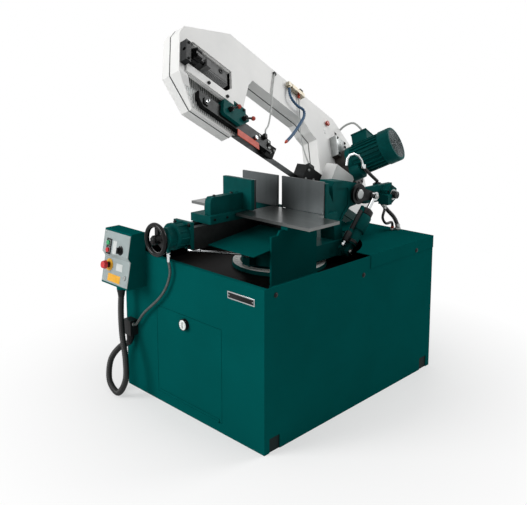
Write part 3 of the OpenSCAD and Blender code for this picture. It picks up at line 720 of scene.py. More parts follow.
@dataclass
class Studio:
    """Camera at the photograph's place in millimetres; light and floor in metres."""

    camera_at: tuple[float, float, float] = (2341.0, -2516.9, 1580.2)
    azimuth: float = 44.601
    pitch: float = 8.475
    focal_px: float = 705.0
    frame_px: float = 527.0
    sensor: float = 36.0
    shift: float = -0.16
    fill: float = 0.30
    # Name, place, width and power of each lamp.
    lights: tuple[tuple[str, Point, float, float], ...] = (
        ("key", (-2.0, -4.6, 2.6), 3.0, 180.0), ("rear", (2.0, 4.4, 3.6), 3.0, 130.0),
        ("top", (0.4, -0.4, 5.0), 3.0, 34.0))
    aim: tuple[float, float, float] = (0.0, 0.0, 0.8)
    floor_r: float = 9.0
    # The floor's own white goes from this share to the whole between these two distances.
    shade: float = 0.45
    fade: tuple[float, float] = (0.7, 1.6)

    def build(self) -> None:
        """Set up camera, world, lamps and floor."""
        self.camera()
        self.world()
        self.lamps()
        self.floor()
        bpy.context.scene.view_settings.view_transform = "Standard"

    def camera(self) -> None:
        """Make the camera for the photograph's frame."""
        data = bpy.data.cameras.new("camera")
        data.sensor_fit, data.sensor_width = "HORIZONTAL", self.sensor
        data.lens = self.focal_px / self.frame_px * self.sensor
        data.shift_y = self.shift
        data.clip_end = 60.0
        made = put("camera", data)
        made.location = Vector(self.camera_at) * MM
        made.rotation_euler = (math.radians(90 - self.pitch), 0.0, math.radians(self.azimuth))
        bpy.context.scene.camera = made

    @staticmethod
    def white_to_lens(tree: bpy.types.NodeTree) -> bpy.types.NodeSocket:
        """Add the test for a ray that should meet plain white.

        Args:
            tree: node tree that takes the nodes.

        Returns:
            Socket that is one for camera, glossy and transmission rays, and else zero.
        """
        path = add_node(tree, "ShaderNodeLightPath")
        two = add_node(tree, "ShaderNodeMath", {"operation": "MAXIMUM"},
                       {0: path.outputs["Is Camera Ray"], 1: path.outputs["Is Glossy Ray"]})
        three = add_node(tree, "ShaderNodeMath", {"operation": "MAXIMUM"},
                         {0: two.outputs[0], 1: path.outputs["Is Transmission Ray"]})
        return three.outputs[0]

    def world(self) -> None:
        """White to the eye and to reflections, a soft grey fill to everything else."""
        made = bpy.data.worlds.new("studio")
        bpy.context.scene.world = made
        tree = bare_tree(made)
        seen = self.white_to_lens(tree)
        fill, white = (add_node(tree, "ShaderNodeBackground",
                                {"Color": linear("#ffffff"), "Strength": strength})
                       for strength in (self.fill, 1.0))
        both = add_node(tree, "ShaderNodeMixShader",
                        links={0: seen, 1: fill.outputs[0], 2: white.outputs[0]})
        add_node(tree, "ShaderNodeOutputWorld", links={"Surface": both.outputs[0]})

    def lamps(self) -> None:
        """A soft key at the front left, one at the rear right for the bow, a weak top light."""
        for name, at, size, power in self.lights:
            data = bpy.data.lights.new(name, "AREA")
            data.shape, data.size, data.energy = "DISK", size, power
            lamp = put(name, data)
            lamp.location = at
            lamp.rotation_mode = "QUATERNION"
            lamp.rotation_quaternion = (Vector(self.aim) - Vector(at)).to_track_quat("-Z", "Y")

    def floor(self) -> None:
        """Pale floor that keeps the shadow and fades to the white backdrop."""
        part = bmesh.new()
        bmesh.ops.create_circle(part, cap_ends=True, segments=64, radius=self.floor_r)
        mesh = bpy.data.meshes.new("floor")
        part.to_mesh(mesh)
        part.free()
        made = put("floor", mesh)
        surface = bpy.data.materials.new("pale_floor")
        tree = bare_tree(surface)
        coord = add_node(tree, "ShaderNodeTexCoord")
        matt = add_node(tree, "ShaderNodeBsdfDiffuse", {"Color": linear("#fbfbfb")})
        glow = add_node(tree, "ShaderNodeEmission", {"Color": linear("#ffffff"), "Strength": 1.0})
        reach = add_node(tree, "ShaderNodeVectorMath", {"operation": "LENGTH"},
                         {0: coord.outputs["Object"]})
        near, far = self.fade
        fade = add_node(tree, "ShaderNodeMapRange",
                        {"From Min": near, "From Max": far, "To Min": self.shade, "To Max": 1.0},
                        {"Value": reach.outputs["Value"]})
        shown = add_node(tree, "ShaderNodeMath", {"operation": "MULTIPLY"},
                         {0: fade.outputs[0], 1: self.white_to_lens(tree)})
        both = add_node(tree, "ShaderNodeMixShader",
                        links={0: shown.outputs[0], 1: matt.outputs[0], 2: glow.outputs[0]})
        add_node(tree, "ShaderNodeOutputMaterial", links={"Surface": both.outputs[0]})
        mesh.materials.append(surface)


class Hose:
    """A hose or cable on a smooth route through given points."""

    # Short chords into which a route is cut to measure along it.
    CHORDS = 600
    # Distance between the rings of a plain tube as a share of its diameter.
    RINGS = 0.4
    # Angle in degrees past which an edge of a hose stays sharp.
    CREASE = 60.0

    def __init__(self, name: str, route: Sequence[Point], diameter: float, finish: Finish,
                 steps: int = 36) -> None:
        """Keep the route and its size.

        Args:
            name: name of the piece.
            route: points in millimetres in the shared frame.
            diameter: outer diameter in millimetres.
            finish: surface of the hose.
            steps: lengths into which the route is cut to measure its path and length.
        """
        self.name, self.finish, self.diameter = name, finish, diameter
        self.knots = [Vector(p) for p in route]
        self.path = [self.point(i * (len(route) - 1) / steps) for i in range(steps + 1)]
        self.length = sum((b - a).length for a, b in zip(self.path, self.path[1:]))

    def point(self, s: float) -> Vector:
        """Find a point of the curve.

        Args:
            s: number of a knot, with a fraction between two of them.

        Returns:
            The point in millimetres.
        """
        p = self.knots
        i = min(int(s), len(p) - 2)
        t = s - i
        a = p[i - 1] if i > 0 else p[0] * 2 - p[1]
        b, c = p[i], p[i + 1]
        d = p[i + 2] if i + 2 < len(p) else p[-1] * 2 - p[-2]
        return b + 0.5 * t * (c - a + t * (2 * a - 5 * b + 4 * c - d + t * (3 * (b - c) + d - a)))

    def even(self, spacing: float) -> list[tuple[Vector, float]]:
        """Space points evenly along the route.

        Args:
            spacing: wanted distance between two points.

        Returns:
            The points, each with its distance from the start.
        """
        last = len(self.knots) - 1
        fine = [self.point(i * last / self.CHORDS) for i in range(self.CHORDS + 1)]
        total = sum((b - a).length for a, b in zip(fine, fine[1:]))
        count = max(8, round(total / spacing))
        made, gone, want = [(fine[0], 0.0)], 0.0, total / count
        for a, b in zip(fine, fine[1:]):
            span = (b - a).length
            while gone + span >= want - 1e-6 and len(made) < count + 1:
                made.append((a.lerp(b, (want - gone) / span), want))
                want += total / count
            gone += span
        return made

    def tube(self, spacing: float, radius: Callable[[int], float],
             sides: int = 12) -> bmesh.types.BMesh:
        """Sweep a ring along the route by repeated extrusion.

        Args:
            spacing: distance between rings in millimetres.
            radius: radius of the ring by its number.
            sides: facets round the hose.

        Returns:
            Closed bmesh in millimetres with a UV map that runs along the hose in metres.
        """
        stops = self.even(spacing)
        part = bmesh.new()
        lay = part.loops.layers.uv.new("lay")
        ring = bmesh.ops.create_circle(part, cap_ends=False, segments=sides, radius=1.0)["verts"]
        tags: dict[Any, tuple[int, int]] = {}
        side = Vector(AXIS_Z).cross(stops[1][0] - stops[0][0])
        if side.length < 1e-6:
            side = Vector(AXIS_X)
        edges = list(part.edges)
        for i, (centre, _) in enumerate(stops):
            if i:
                grown = bmesh.ops.extrude_edge_only(part, edges=edges)["geom"]
                fresh = [g for g in grown if isinstance(g, bmesh.types.BMVert)]
                edges = [g for g in grown if isinstance(g, bmesh.types.BMEdge)
                         and all(v in fresh for v in g.verts)]
                ring = self.in_order(fresh, ring)
            ahead = stops[min(i + 1, len(stops) - 1)][0] - stops[max(i - 1, 0)][0]
            ahead.normalize()
            side = (side - ahead * side.dot(ahead)).normalized()
            up = ahead.cross(side)
            for j, v in enumerate(ring):
                a = math.tau * j / sides
                v.co = centre + radius(i) * (math.cos(a) * side + math.sin(a) * up)
                tags[v] = (i, j)
        for face in part.faces:
            wraps = {tags[v][1] for v in face.verts} >= {0, sides - 1}
            for loop in face.loops:
                i, j = tags[loop.vert]
                loop[lay].uv = (stops[i][1] * MM, (sides if wraps and j == 0 else j) / sides)
        bmesh.ops.holes_fill(part, edges=[e for e in part.edges if e.is_boundary], sides=0)
        return part

    @staticmethod
    def in_order(fresh: Sequence[bmesh.types.BMVert],
                 ring: Sequence[bmesh.types.BMVert]) -> list[bmesh.types.BMVert]:
        """Sort a freshly extruded ring as the ring before it.

        Args:
            fresh: vertices of the new ring.
            ring: vertices of the ring that it grew from, in order.

        Returns:
            The new vertices, each at the place of the one that it grew from.
        """
        grown = set(fresh)
        return [next(e.other_vert(v) for e in v.link_edges if e.other_vert(v) in grown)
                for v in ring]

    def build(self, replaced: str, part: Part, stiffness: str = "medium",
              shape: Optional[bmesh.types.BMesh] = None,
              bend: Optional[tuple[Part, Part, Point, Point]] = None,
              extras: Sequence[bpy.types.Object] = ()) -> bpy.types.Object:
        """Args:
            replaced: solid that it stands for.
            part: body that carries it.
            stiffness: not used.
            shape: swept bmesh, or nothing for a plain tube.
            bend: two bodies and the hose's end points on them; when it is given, the hose rides on
                no body and its place is baked into its mesh.
            extras: not used.

        Returns:
            The hose's object.
        """
        r = self.diameter / 2
        piece = Shape()
        piece.body.loops.layers.uv.new("lay")
        piece.join(shape or self.tube(self.diameter * self.RINGS, lambda i: r))
        made = piece.done(self.name, self.finish, None if bend else part, crease=self.CREASE)
        if bend:
            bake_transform(made)
        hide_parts(replaced)
        return made


class Lines:
    """Every hose, cable and conduit on the saw, on the routes of their solids.

    The routes on the bow are in its own sizes (u, v, n), the others in the shared frame.
    """

    CONDUIT = ((-412, -690, 538), (-412, -690, 500), (-414, -694, 400), (-397, -702, 300),
               (-354, -716, 190), (-336, -732, 95), (-386, -742, 21), (-466, -736, 56),
               (-480, -716, 150), (-448, -682, 216), (-416, -650, 240), (-412, -645, 263))
    VISE = ((-104, -640, 742.6), (-104, -640, 700), (-97, -640, 650), (-130, -640, 575),
            (-188, -642, 507), (-294, -644, 418), (-348, -645, 356), (-366, -645, 340),
            (-382, -645, 338))
    DECK = ((182, 534, 908), (182, 546, 880), (188, 570, 838), (212, 590, 800), (244, 600, 768),
            (266, 598, 738), (274, 595, 711))
    ARM = ((170, 425, 1046), (172, 448, 1026), (176, 480, 1000), (180, 512, 976), (182, 532, 961))
    FEED = ((262, 490, 850.6), (262, 490, 828), (262, 474, 785), (262, 505, 750), (262, 556, 748),
            (260, 568, 726), (260, 568, 704))
    COOLANT = ((322, 476.4, 72), (322, 462, 72.5), (327, 438, 75), (316, 406, 78), (276, 384, 82),
               (222, 384, 84), (226, 336, 84), (290, 236, 82), (348, 156, 80), (392, 102, 78),
               (404, 88, 78))
    CABLE = ((-226, 493, 24), (-232, 514, 30), (-236, 538, 76), (-222, 520, 138), (-200, 452, 186),
             (-192, 400, 206), (-190, 373, 208))
    FRONT = ((432, 512, 62), (438, 500, 62), (466, 382, 62), (490, 245, 62), (520, 138, 62),
             (545, 92, 60), (546, 69.5, 58))
    REAR = ((225, 490, 66), (226, 476, 66), (232, 380, 64), (238, 280, 62), (232, 190, 60),
            (204, 125, 56), (180, 92, 54), (178, 76, 54))

    def build(self) -> None:
        """Make all of them."""
        self.conduit()
        self.braided()
        self.hydraulics()
        self.on_bow()

    def conduit(self) -> None:
        """Ribbed conduit from the console's gland to the gland box."""
        sleeves = [
            Shape().stack((-412, -690, 0), AXIS_Z, [(520, 505, 20.5, 8, 1.2)])
            .rod((-412, -690, 506), (-412, -690, 484), 18.5, 15.6, edge=0.8)
            .done("console_gland_nut", Stock.BLACK_ABS, Part.CABINET),
            Shape().rod((-412, -645, 270), (-412, -645.6, 258), 18.8, sides=8, edge=1.2)
            .rod((-412, -645.4, 259), (-415, -649, 242), 17.6, 15.7, edge=0.8)
            .done("box_gland_nut", Stock.BLACK_ABS, Part.CABINET)]
        hose = Hose("ribbed_conduit", self.CONDUIT, 30.0, Stock.CONDUIT, 40)
        ribs = (15.0, 15.0, 13.2, 13.2)
        hose.build("console_conduit", Part.CABINET, stiffness="stiff", extras=sleeves,
                   shape=hose.tube(2.1, lambda i: ribs[i % 4], 20))

    def braided(self) -> None:
        """Braided hose from the vise to the gland box."""
        hose = Hose("braided_vise_hose", self.VISE, 13.0, Stock.BRAID, 36)
        hose.build("vise_hose", Part.CABINET,
                   shape=hose.tube(3.2, lambda i: 6.5 if i % 2 else 6.1, 14))

    def hydraulics(self) -> None:
        """Black hoses between deck, valve and arm, each given its two bodies and end points, and
        carried by neither.
        """
        for name, replaced, route, size, steps, low, high in (
                ("deck_hose", "hose_lower", self.DECK, 22.0, 30, Part.CABINET, Part.SWIVEL),
                ("arm_hose", "hose_upper", self.ARM, 18.0, 24, Part.SWIVEL, Part.ARM),
                ("feed_hose", "cylinder_hose", self.FEED, 14.0, 30, Part.CABINET, Part.SWIVEL)):
            Hose(name, route, size, Stock.RUBBER, steps).build(
                replaced, high, stiffness="stiff", bend=(low, high, route[-1], route[0]))

    def on_bow(self) -> None:
        """Blue segmented coolant hose, two thin lines and the motor cable."""
        blue = Hose("blue_coolant_hose", [Bow.at(*p) for p in self.COOLANT], 16.0, Stock.BLUE, 40)
        beads = (8.0, 7.6, 6.2, 6.0, 6.2, 7.6)
        blue.build("coolant_hose", Part.ARM, stiffness="stiff",
                   shape=blue.tube(2.2, lambda i: beads[i % 6], 14))
        # The front line ends on the sliding guide, the two others on the arm.
        bend = (Part.ARM, Part.GUIDE, Bow.at(*self.FRONT[2]), Bow.at(*self.FRONT[-1]))
        for name, route, size, moves in (("motor_cable", self.CABLE, 12.0, None),
                                         ("front_line", self.FRONT, 8.0, bend),
                                         ("rear_line", self.REAR, 8.0, None)):
            Hose(name, [Bow.at(*p) for p in route], size, Stock.LINE, 32).build(
                "arm_lines", Part.ARM, bend=moves)


@dataclass
class CabinetTrim:
    """Floor sheet, bolts, bare plate, latch cap and scale of the cabinet; sizes in millimetres."""

    inside: tuple[float, float, float] = (470.0, 615.0, 32.0)
    rail_top: float = 60.2
    side_bolts: tuple[Point, ...] = ((475.0, -554.0, 665.0), (475.0, 29.0, 620.0),
                                     (478.0, 463.0, 654.0))
    bolt_r: float = 8.0
    front_y: float = -620.0
    plate: tuple[float, float, float, float] = (262.0, 422.0, 618.0, 650.0)
    rim: float = 5.0
    rivet_in: float = 11.0
    latch_at: tuple[float, float, float] = (-20.0, -636.0, 428.0)
    scale_at: tuple[float, float, float] = (0.0, -30.0, 616.0)
    strokes: int = 29
    stroke_angles: tuple[float, float] = (200.0, 5.0)
    stroke_radii: tuple[float, float, float] = (208.0, 218.0, 229.0)

    def build(self) -> None:
        """Make the cabinet's trim."""
        self.floor_sheet()
        self.bolts()
        self.plates()
        self.latch_cap()
        self.scale_marks()

    def floor_sheet(self) -> None:
        """Sheet on the frame's rails inside the cabinet, notched round its four posts."""
        x, y, n = self.inside
        quarter = [(x - n, -y), (x - n, n - y), (x, n - y)]
        half = quarter + [(a, -b) for a, b in reversed(quarter)]
        outline = half + [(-a, b) for a, b in reversed(half)]
        Shape().prism(outline, self.rail_top, self.rail_top + 2) \
            .done("cabinet_floor", Stock.GREEN_SHEET, Part.CABINET)

    def bolts(self) -> None:
        """Low domed bolts on washers along the right side."""
        heads = Shape()
        for x, y, z in self.side_bolts:
            heads.rod((x - 1, y, z), (x + 1.2, y, z), self.bolt_r * 1.4, edge=0.3)
            heads.domes([(x + 1, y, z)], self.bolt_r, 4.0, AXIS_X)
        heads.done("side_panel_bolts", Stock.BLACKED, Part.CABINET)

    def plates(self) -> None:
        """Bare plate with a bright rim and two rivets on the front."""
        x0, x1, z0, z1 = self.plate
        y, rim = self.front_y, self.rim
        Shape().block((x0, y - 2.0, z0), (x1, y + 1, z1), 0.8) \
            .done("front_plate_rim", Stock.BRIGHT, Part.CABINET)
        Shape().block((x0 + rim, y - 2.6, z0 + rim), (x1 - rim, y - 1.0, z1 - rim), 0.4) \
            .done("front_plate_field", Stock.BLACKED, Part.CABINET)
        feet = [(x, y - 2.5, (z0 + z1) / 2) for x in (x0 + self.rivet_in, x1 - self.rivet_in)]
        Shape().domes(feet, 2.6, 1.2, TO_FRONT) \
            .done("front_plate_rivets", Stock.ZINC, Part.CABINET)

    def latch_cap(self) -> None:
        """White cap inside the latch's black rim, with a black strip across it as painted shade of
        its coin slot; the rim's black ring is partly painted shadow round the cap.
        """
        x, y, z = self.latch_at
        cap = [(22.5, -2.0), (22.5, 0.6), (21.0, 1.6), (9.0, 2.2), (0.0, 2.3)]
        Shape().lathe(cap, self.latch_at, TO_FRONT, 48).done("latch_cap", Stock.LATCH, Part.LATCH)
        # The black strip is painted shade of the coin slot, set on the cap's face.
        Shape().block((x - 2.2, y - 2.9, z - 14), (x + 2.2, y - 1.5, z + 14), 0.5) \
            .done("latch_slot_shade", Stock.BLACK_ABS, Part.LATCH)

    def scale_marks(self) -> None:
        """Black strokes, long and short in turn, round the front of the swivel scale."""
        marks = Shape()
        x, y, z = self.scale_at
        first, step = self.stroke_angles
        far, near, end = self.stroke_radii
        for k in range(self.strokes):
            turn = Matrix.Rotation(math.radians(first + step * k), 4, "Z")
            marks.block((near if k % 2 else far, -0.6, z - 0.4), (end, 0.6, z + 0.25), 0.0,
                        Matrix.Translation((x, y, 0.0)) @ turn)
        marks.done("scale_strokes", Stock.INK, Part.CABINET)


class Facet(Enum):
    """Facets of the console's panel: y and z of the top edge, then run and rise."""

    UPPER = (-695.0, 800.0, 21.0, 110.0)
    LOWER = (-702.0, 668.0, 26.0, 128.0)


@dataclass
class Console:
    """Frames, plates and screws on the console's bent panel; sizes in millimetres."""

    skin: float = 3.0
    buttons: tuple[float, float, float] = (-467.0, 738.0, 704.0)
    switch: tuple[float, float] = (-372.0, 716.0)
    stop: tuple[float, float] = (-470.0, 630.0)
    key: tuple[float, float] = (-336.0, 592.0)
    screw_columns: tuple[float, float] = (-507.0, -315.0)
    screw_rows: tuple[tuple[float, Facet], ...] = (
        (785.0, Facet.UPPER), (697.0, Facet.UPPER), (660.0, Facet.LOWER), (556.0, Facet.LOWER))

    @staticmethod
    def spot(x: float, z: float, facet: Facet) -> Matrix:
        """Place on the bent panel: x to the right, y up along it, z out of it.

        Args:
            x: position across.
            z: height in the shared frame.
            facet: facet that it lies on.

        Returns:
            Rigid matrix.
        """
        top_y, top_z, run, rise = facet.value
        up = Vector((0, run, rise)).normalized()
        return basis(AXIS_X, up, Vector(AXIS_X).cross(up), (x, top_y - (top_z - z) * run / rise, z))

    def turned(self, spots: Sequence[Matrix], profile: Sequence[Point], steps: int = 32,
               closed: bool = True) -> Shape:
        """Turn a profile about the panel's normal.

        Args:
            spots: places on the panel.
            profile: points of (radius, height above the panel's skin).
            steps: facets round the axis.
            closed: whether the profile's ends join, for a ring.

        Returns:
            The piece.
        """
        raised = [(r, self.skin + h) for r, h in profile]
        piece = Shape()
        for spot in spots:
            piece.lathe(raised, spot.translation, spot.col[2].to_3d(), steps, closed)
        return piece

    def build(self) -> None:
        """Make everything on the panel."""
        self.button_frame()
        self.switch_bezel()
        self.stop_base()
        self.plates()
        self.screws()

    def button_frame(self) -> None:
        """Black frame with two openings, and a bright bezel in each."""
        x, high, low = self.buttons
        bars = Shape(self.spot(x, (high + low) / 2, Facet.UPPER))
        for x0, x1, y0, y1 in ((-19, -13, -37, 37), (13, 19, -37, 37), (-14, 14, 31, 37),
                               (-14, 14, -2.6, 2.6), (-14, 14, -37, -31)):
            bars.block((x0, y0, self.skin - 0.5), (x1, y1, self.skin + 3.2), 0.8)
        bars.done("button_frame", Stock.BLACK_ABS, Part.CABINET)
        self.turned([self.spot(x, z, Facet.UPPER) for z in (high, low)],
                    [(11.7, -0.5), (13.0, -0.5), (13.0, 3), (12.2, 4), (11.7, 4)]) \
            .done("button_bezels", Stock.ZINC, Part.CABINET)

    def switch_bezel(self) -> None:
        """Ring with a pale index mark round the rotary switch."""
        spot = self.spot(*self.switch, Facet.UPPER)
        ring = [(14.6, -0.5), (22.0, -0.5), (22.0, 1.6), (20.0, 2.6), (14.6, 2.6)]
        self.turned([spot], ring, 40).done("switch_ring", Stock.BLACK_ABS, Part.CABINET)
        Shape(spot).block((-1.2, 17, self.skin + 2.2), (1.2, 20.5, self.skin + 2.9), 0.2) \
            .done("switch_index", Stock.PALE_FILM, Part.CABINET)

    def stop_base(self) -> None:
        """Yellow ring under the mushroom, and the dark collar on its stem."""
        spots = [self.spot(*self.stop, Facet.LOWER)]
        self.turned(spots, [(14.6, -0.5), (29.0, -0.5), (29.0, 2.4), (26.0, 5), (14.6, 5)], 44) \
            .done("stop_base", Stock.YELLOW, Part.CABINET)
        self.turned(spots, [(12.1, 6.5), (13.6, 6.5), (13.6, 22.4), (12.1, 22.4)]) \
            .done("stop_collar", Stock.BLACK_ABS, Part.ESTOP)

    def plates(self) -> None:
        """Bare film plates and the key disc."""
        for name, x, z, facet, w, h, finish in (
                ("stop_plate", -420.0, 574.0, Facet.LOWER, 100.0, 36.0, Stock.YELLOW),
                ("lower_plate", -388.0, 630.0, Facet.LOWER, 50.0, 34.0, Stock.PALE_FILM),
                ("upper_plate", -421.0, 722.0, Facet.UPPER, 30.0, 62.0, Stock.PALE_FILM)):
            low, high = (-w / 2, -h / 2, self.skin - 0.5), (w / 2, h / 2, self.skin + 0.9)
            Shape(self.spot(x, z, facet)).block(low, high, 0.4).done(name, finish, Part.CABINET)
        disc = [(10.0, -0.5), (10.0, 3), (8.6, 4.4), (3.4, 4.4), (3.0, 3.2), (0.0, 3.2)]
        self.turned([self.spot(*self.key, Facet.LOWER)], disc, closed=False) \
            .done("key_disc", Stock.ZINC, Part.CABINET)

    def screws(self) -> None:
        """Small domed screws at the panel's corners and beside its kink."""
        heads = Shape()
        for x in self.screw_columns:
            for z, facet in self.screw_rows:
                spot = self.spot(x, z, facet)
                way = spot.col[2].to_3d()
                heads.domes([spot.translation + way * (self.skin - 0.3)], 3.4, 1.9, way)
        heads.done("panel_screws", Stock.ZINC, Part.CABINET)


@dataclass
class Vise:
    """Ribs, flange bolts, wheel nut, jaw screws and hose ends of the vise, in millimetres."""

    axis: tuple[float, float] = (-120.0, 810.0)
    ribs: int = 11
    rib_circle: float = 56.5
    rib_run: tuple[float, float] = (-601.0, -547.0)
    flange_y: float = -548.0
    flange_bolts: tuple[float, float] = (-50.0, 50.0)
    wheel_face: float = -708.0
    jaw_edge: float = 14.0
    gib_steps: tuple[float, ...] = (-52.0, -130.0, -208.0)
    top_steps: tuple[float, ...] = (-60.0, -170.0)

    def build(self) -> None:
        """Make the vise's fittings."""
        self.housing()
        self.wheel_nut()
        self.jaw_screws()
        self.hose_union()

    def housing(self) -> None:
        """Cast ribs along the screw housing, and four bolts in its flange."""
        x, z = self.axis
        ribs = Shape()
        for k in range(self.ribs):
            a = math.radians(-70 + 320 * k / (self.ribs - 1))
            c, s = self.rib_circle * math.cos(a), self.rib_circle * math.sin(a)
            start, end = ((x + c, y, z + s) for y in self.rib_run)
            ribs.rod(start, end, 4.2, sides=12)
        ribs.done("housing_ribs", Stock.GREEN_CAST, Part.CABINET)
        feet = [(x + dx, self.flange_y, z + dz) for dx in self.flange_bolts
                for dz in self.flange_bolts]
        Shape().hex_bolts(feet, 7.5, TO_FRONT).done("housing_bolts", Stock.BLACKED, Part.CABINET)

    def wheel_nut(self) -> None:
        """Washer, nut and rounded screw end on the hand wheel."""
        x, z = self.axis
        y = self.wheel_face
        Shape().stack((x, y, z), TO_FRONT, [(-1, 2.5, 20.0, ROUND, 0.5), (2, 8, 19.0, HEX, 1.2)]) \
            .domes([(x, y - 7.8, z)], 13.0, 4.0, TO_FRONT) \
            .done("wheel_nut", Stock.BLACKED, Part.SCREW)

    def jaw_screws(self) -> None:
        """Gib screws along the jaw's base, and two screws in its top."""
        high = Vector(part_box("movable_jaw")[1]) * 1000
        back = high.y - self.jaw_edge
        Shape().cap_screws([(-52.5, back + dy, 866) for dy in self.gib_steps], 5.5, AXIS_X) \
            .done("gib_screws", Stock.BLACKED, Part.JAW)
        Shape().cap_screws([(-98, back + dy, 964.5) for dy in self.top_steps], 7.0) \
            .done("jaw_top_screws", Stock.BLACKED, Part.JAW)

    def hose_union(self) -> None:
        """Bright ferrule and hexagons at the two ends of the braided hose."""
        ferrule = [(745, 735, 11.5, HEX, 0.8), (736, 702, 8.6, ROUND, 0.8),
                   (730, 726, 9.6, ROUND, 0.6)]
        Shape().stack((-104, -640, 0), AXIS_Z, ferrule) \
            .done("vise_hose_ferrule", Stock.CHROME, Part.CABINET)
        Shape().stack((0, -645, 338), AXIS_X, [(-380, -396, 10.5, HEX, 0.8)]) \
            .done("gland_hose_nut", Stock.ZINC, Part.CABINET)


@dataclass
class BowTrim:
    """Seam, slats, screws, teeth and small fittings of the bow; sizes in bow millimetres."""

    outline: tuple[tuple[float, float], ...] = (
        (1135, 80), (1015, -35), (750, -35), (728, 60), (655, 300), (620, 350), (185, 350),
        (125, 310), (70, 290), (70, -30), (-310, -30), (-430, 90), (-430, 374), (-140, 540),
        (784, 540), (1108, 353), (1135, 298))
    seam_high: float = 5.0
    seam_proud: float = 0.7
    face: float = 55.0
    slat_count: int = 28
    slat_run: tuple[float, float] = (740.0, 12.2)
    slat_foot: float = -21.0
    slant_from: float = 1000.0
    slant: tuple[float, float] = (108.0, 79.0)
    rib_count: int = 7
    rib_run: tuple[float, float] = (163.0, 8.5)
    blade_v: float = -0.65
    blade_run: tuple[float, float] = (76.0, 516.0)
    blade_turn: float = 60.0
    tooth: float = 8.0
    # The bent pipe keeps the shared frame's millimetres.
    pipe: tuple[Point, ...] = ((150, 306, 1066), (150, 312, 1100), (151, 330, 1117),
                               (152, 362, 1121), (155, 398, 1108), (162, 418, 1082),
                               (169, 424, 1050))
    pipe_r: float = 6.0

    def build(self) -> None:
        """Make the bow's trim."""
        self.seam()
        self.slats()
        self.slide_face()
        self.keeper()
        self.face_fittings()
        self.teeth()
        self.hard_line()

    def seam(self) -> None:
        """Dark strip between the frame and its rear cover, all round the outline: painted shade of
        the gap between them.
        """
        strip = Shape.on_bow()
        p, h = self.seam_proud, self.seam_high / 2
        for a, b in zip(self.outline, self.outline[1:] + self.outline[:1]):
            run = Vector(b) - Vector(a)
            turn = Matrix.Translation((*a, 0.0)) @ Matrix.Rotation(math.atan2(run.y, run.x), 4, "Z")
            strip.block((-p, -p, -h), (run.length + p, p, h), 0.3, turn)
        strip.done("cover_seam_shade", Stock.SEAM_SHADE, Part.ARM)

    def slats(self) -> None:
        """Upright slats on the inner plate behind the guide bar, cut along its slanted edge."""
        rows = Shape.on_bow()
        first, step = self.slat_run
        rise, run = self.slant
        for k in range(self.slat_count):
            u = first + step * k
            foot = self.slat_foot + max(0.0, u - self.slant_from) * rise / run
            rows.block((u, foot, 20.0), (u + 5, 127, 21.9), 0.4)
        rows.done("inner_slats", Stock.SHEET, Part.ARM)

    def slide_face(self) -> None:
        """Light upper plate, ribs and ring on the tension slide."""
        Shape.on_bow().prism([(974, 228), (974, 289), (803, 289), (803, 228)], 39.5, 41.4, 0.5) \
            .done("slide_plate", Stock.SLIDE, Part.SLIDE)
        ribs = Shape.on_bow()
        first, step = self.rib_run
        for k in range(self.rib_count):
            v = first + step * k
            ribs.block((max(804, 853 - (v - 158) * 0.88), v, 39.5), (974, v + 4, 41.2), 0.4)
        ribs.done("slide_ribs", Stock.BLACKED, Part.SLIDE)
        Shape.on_bow().ring((848, 268, 43.0), AXIS_Z, 10.0, 3.2) \
            .done("slide_ring", Stock.BLACK_ABS, Part.SLIDE)

    def keeper(self) -> None:
        """Black screws in the keeper bar, and the screws of the tension block."""
        Shape.on_bow().cap_screws([(832, 118, 62.5), (958, 118, 62.5)], 8.0) \
            .cap_screws([(1115, 140, 90.5), (1115, 228, 90.5)], 6.0) \
            .done("keeper_screws", Stock.BLACKED, Part.ARM)

    def face_fittings(self) -> None:
        """Knob, bolts, cover plate, clip and line ends on the bow's face."""
        n = self.face
        knob = [(9, -1), (9, 5), (15, 7), (16, 12), (14, 16), (8, 18), (0, 18.4)]
        Shape.on_bow().lathe(knob, (-54, 461, n), steps=32) \
            .done("cover_knob", Stock.RED_BALL, Part.ARM)
        Shape.on_bow().domes([(-27, v, n - 0.3) for v in (402, 386)], 5.5, 3.2) \
            .done("face_bolts", Stock.ZINC, Part.ARM)
        for name, low, high, edge in (
                ("face_blank", (-158, 412, n - 1), (-138, 450, n + 2.2), 0.9),
                ("line_clip", (423, 504, n - 1), (441, 520, n + 12), 1.5)):
            Shape.on_bow().block(low, high, edge).done(name, Stock.BLACK_ABS, Part.ARM)
        for name, start, end, radius, far, edge in (
                ("rear_line_sleeve", (225, 492, 66), (225.5, 468, 66), 8.0, 5.2, 0.6),
                ("coolant_nozzle", (399, 94, 78), (413, 77.6, 78), 8.4, 4.2, 0.5)):
            Shape.on_bow().rod(start, end, radius, far, edge=edge) \
                .done(name, Stock.ORANGE, Part.ARM)
        Shape.on_bow().rod((-225, 487, 21), (-231.5, 513, 31), 10.5, 7.0, edge=0.6) \
            .rod((-224, 482, 19), (-225.4, 488, 21.6), 13.0, sides=HEX, edge=0.8) \
            .done("cable_plug", Stock.BLACK_ABS, Part.ARM)

    def teeth(self) -> None:
        """Set teeth along the band's free run; drawn coarser than real ones so that they show."""
        row = Shape.on_bow()
        a = math.radians(self.blade_turn)
        c, s = math.cos(a), math.sin(a)
        start, end = self.blade_run
        tooth = [(0, -13.4), (self.tooth * 0.7, -13.4), (self.tooth * 0.1, -9.4)]
        for k in range(int((end - start) / self.tooth)):
            spot = (start + k * self.tooth, self.blade_v, 0)
            row.prism(tooth, -0.62, 0.62, 0.0, basis(AXIS_X, (0, s, c), (0, -c, s), spot))
        row.done("band_teeth", Stock.BRIGHT, Part.ARM)

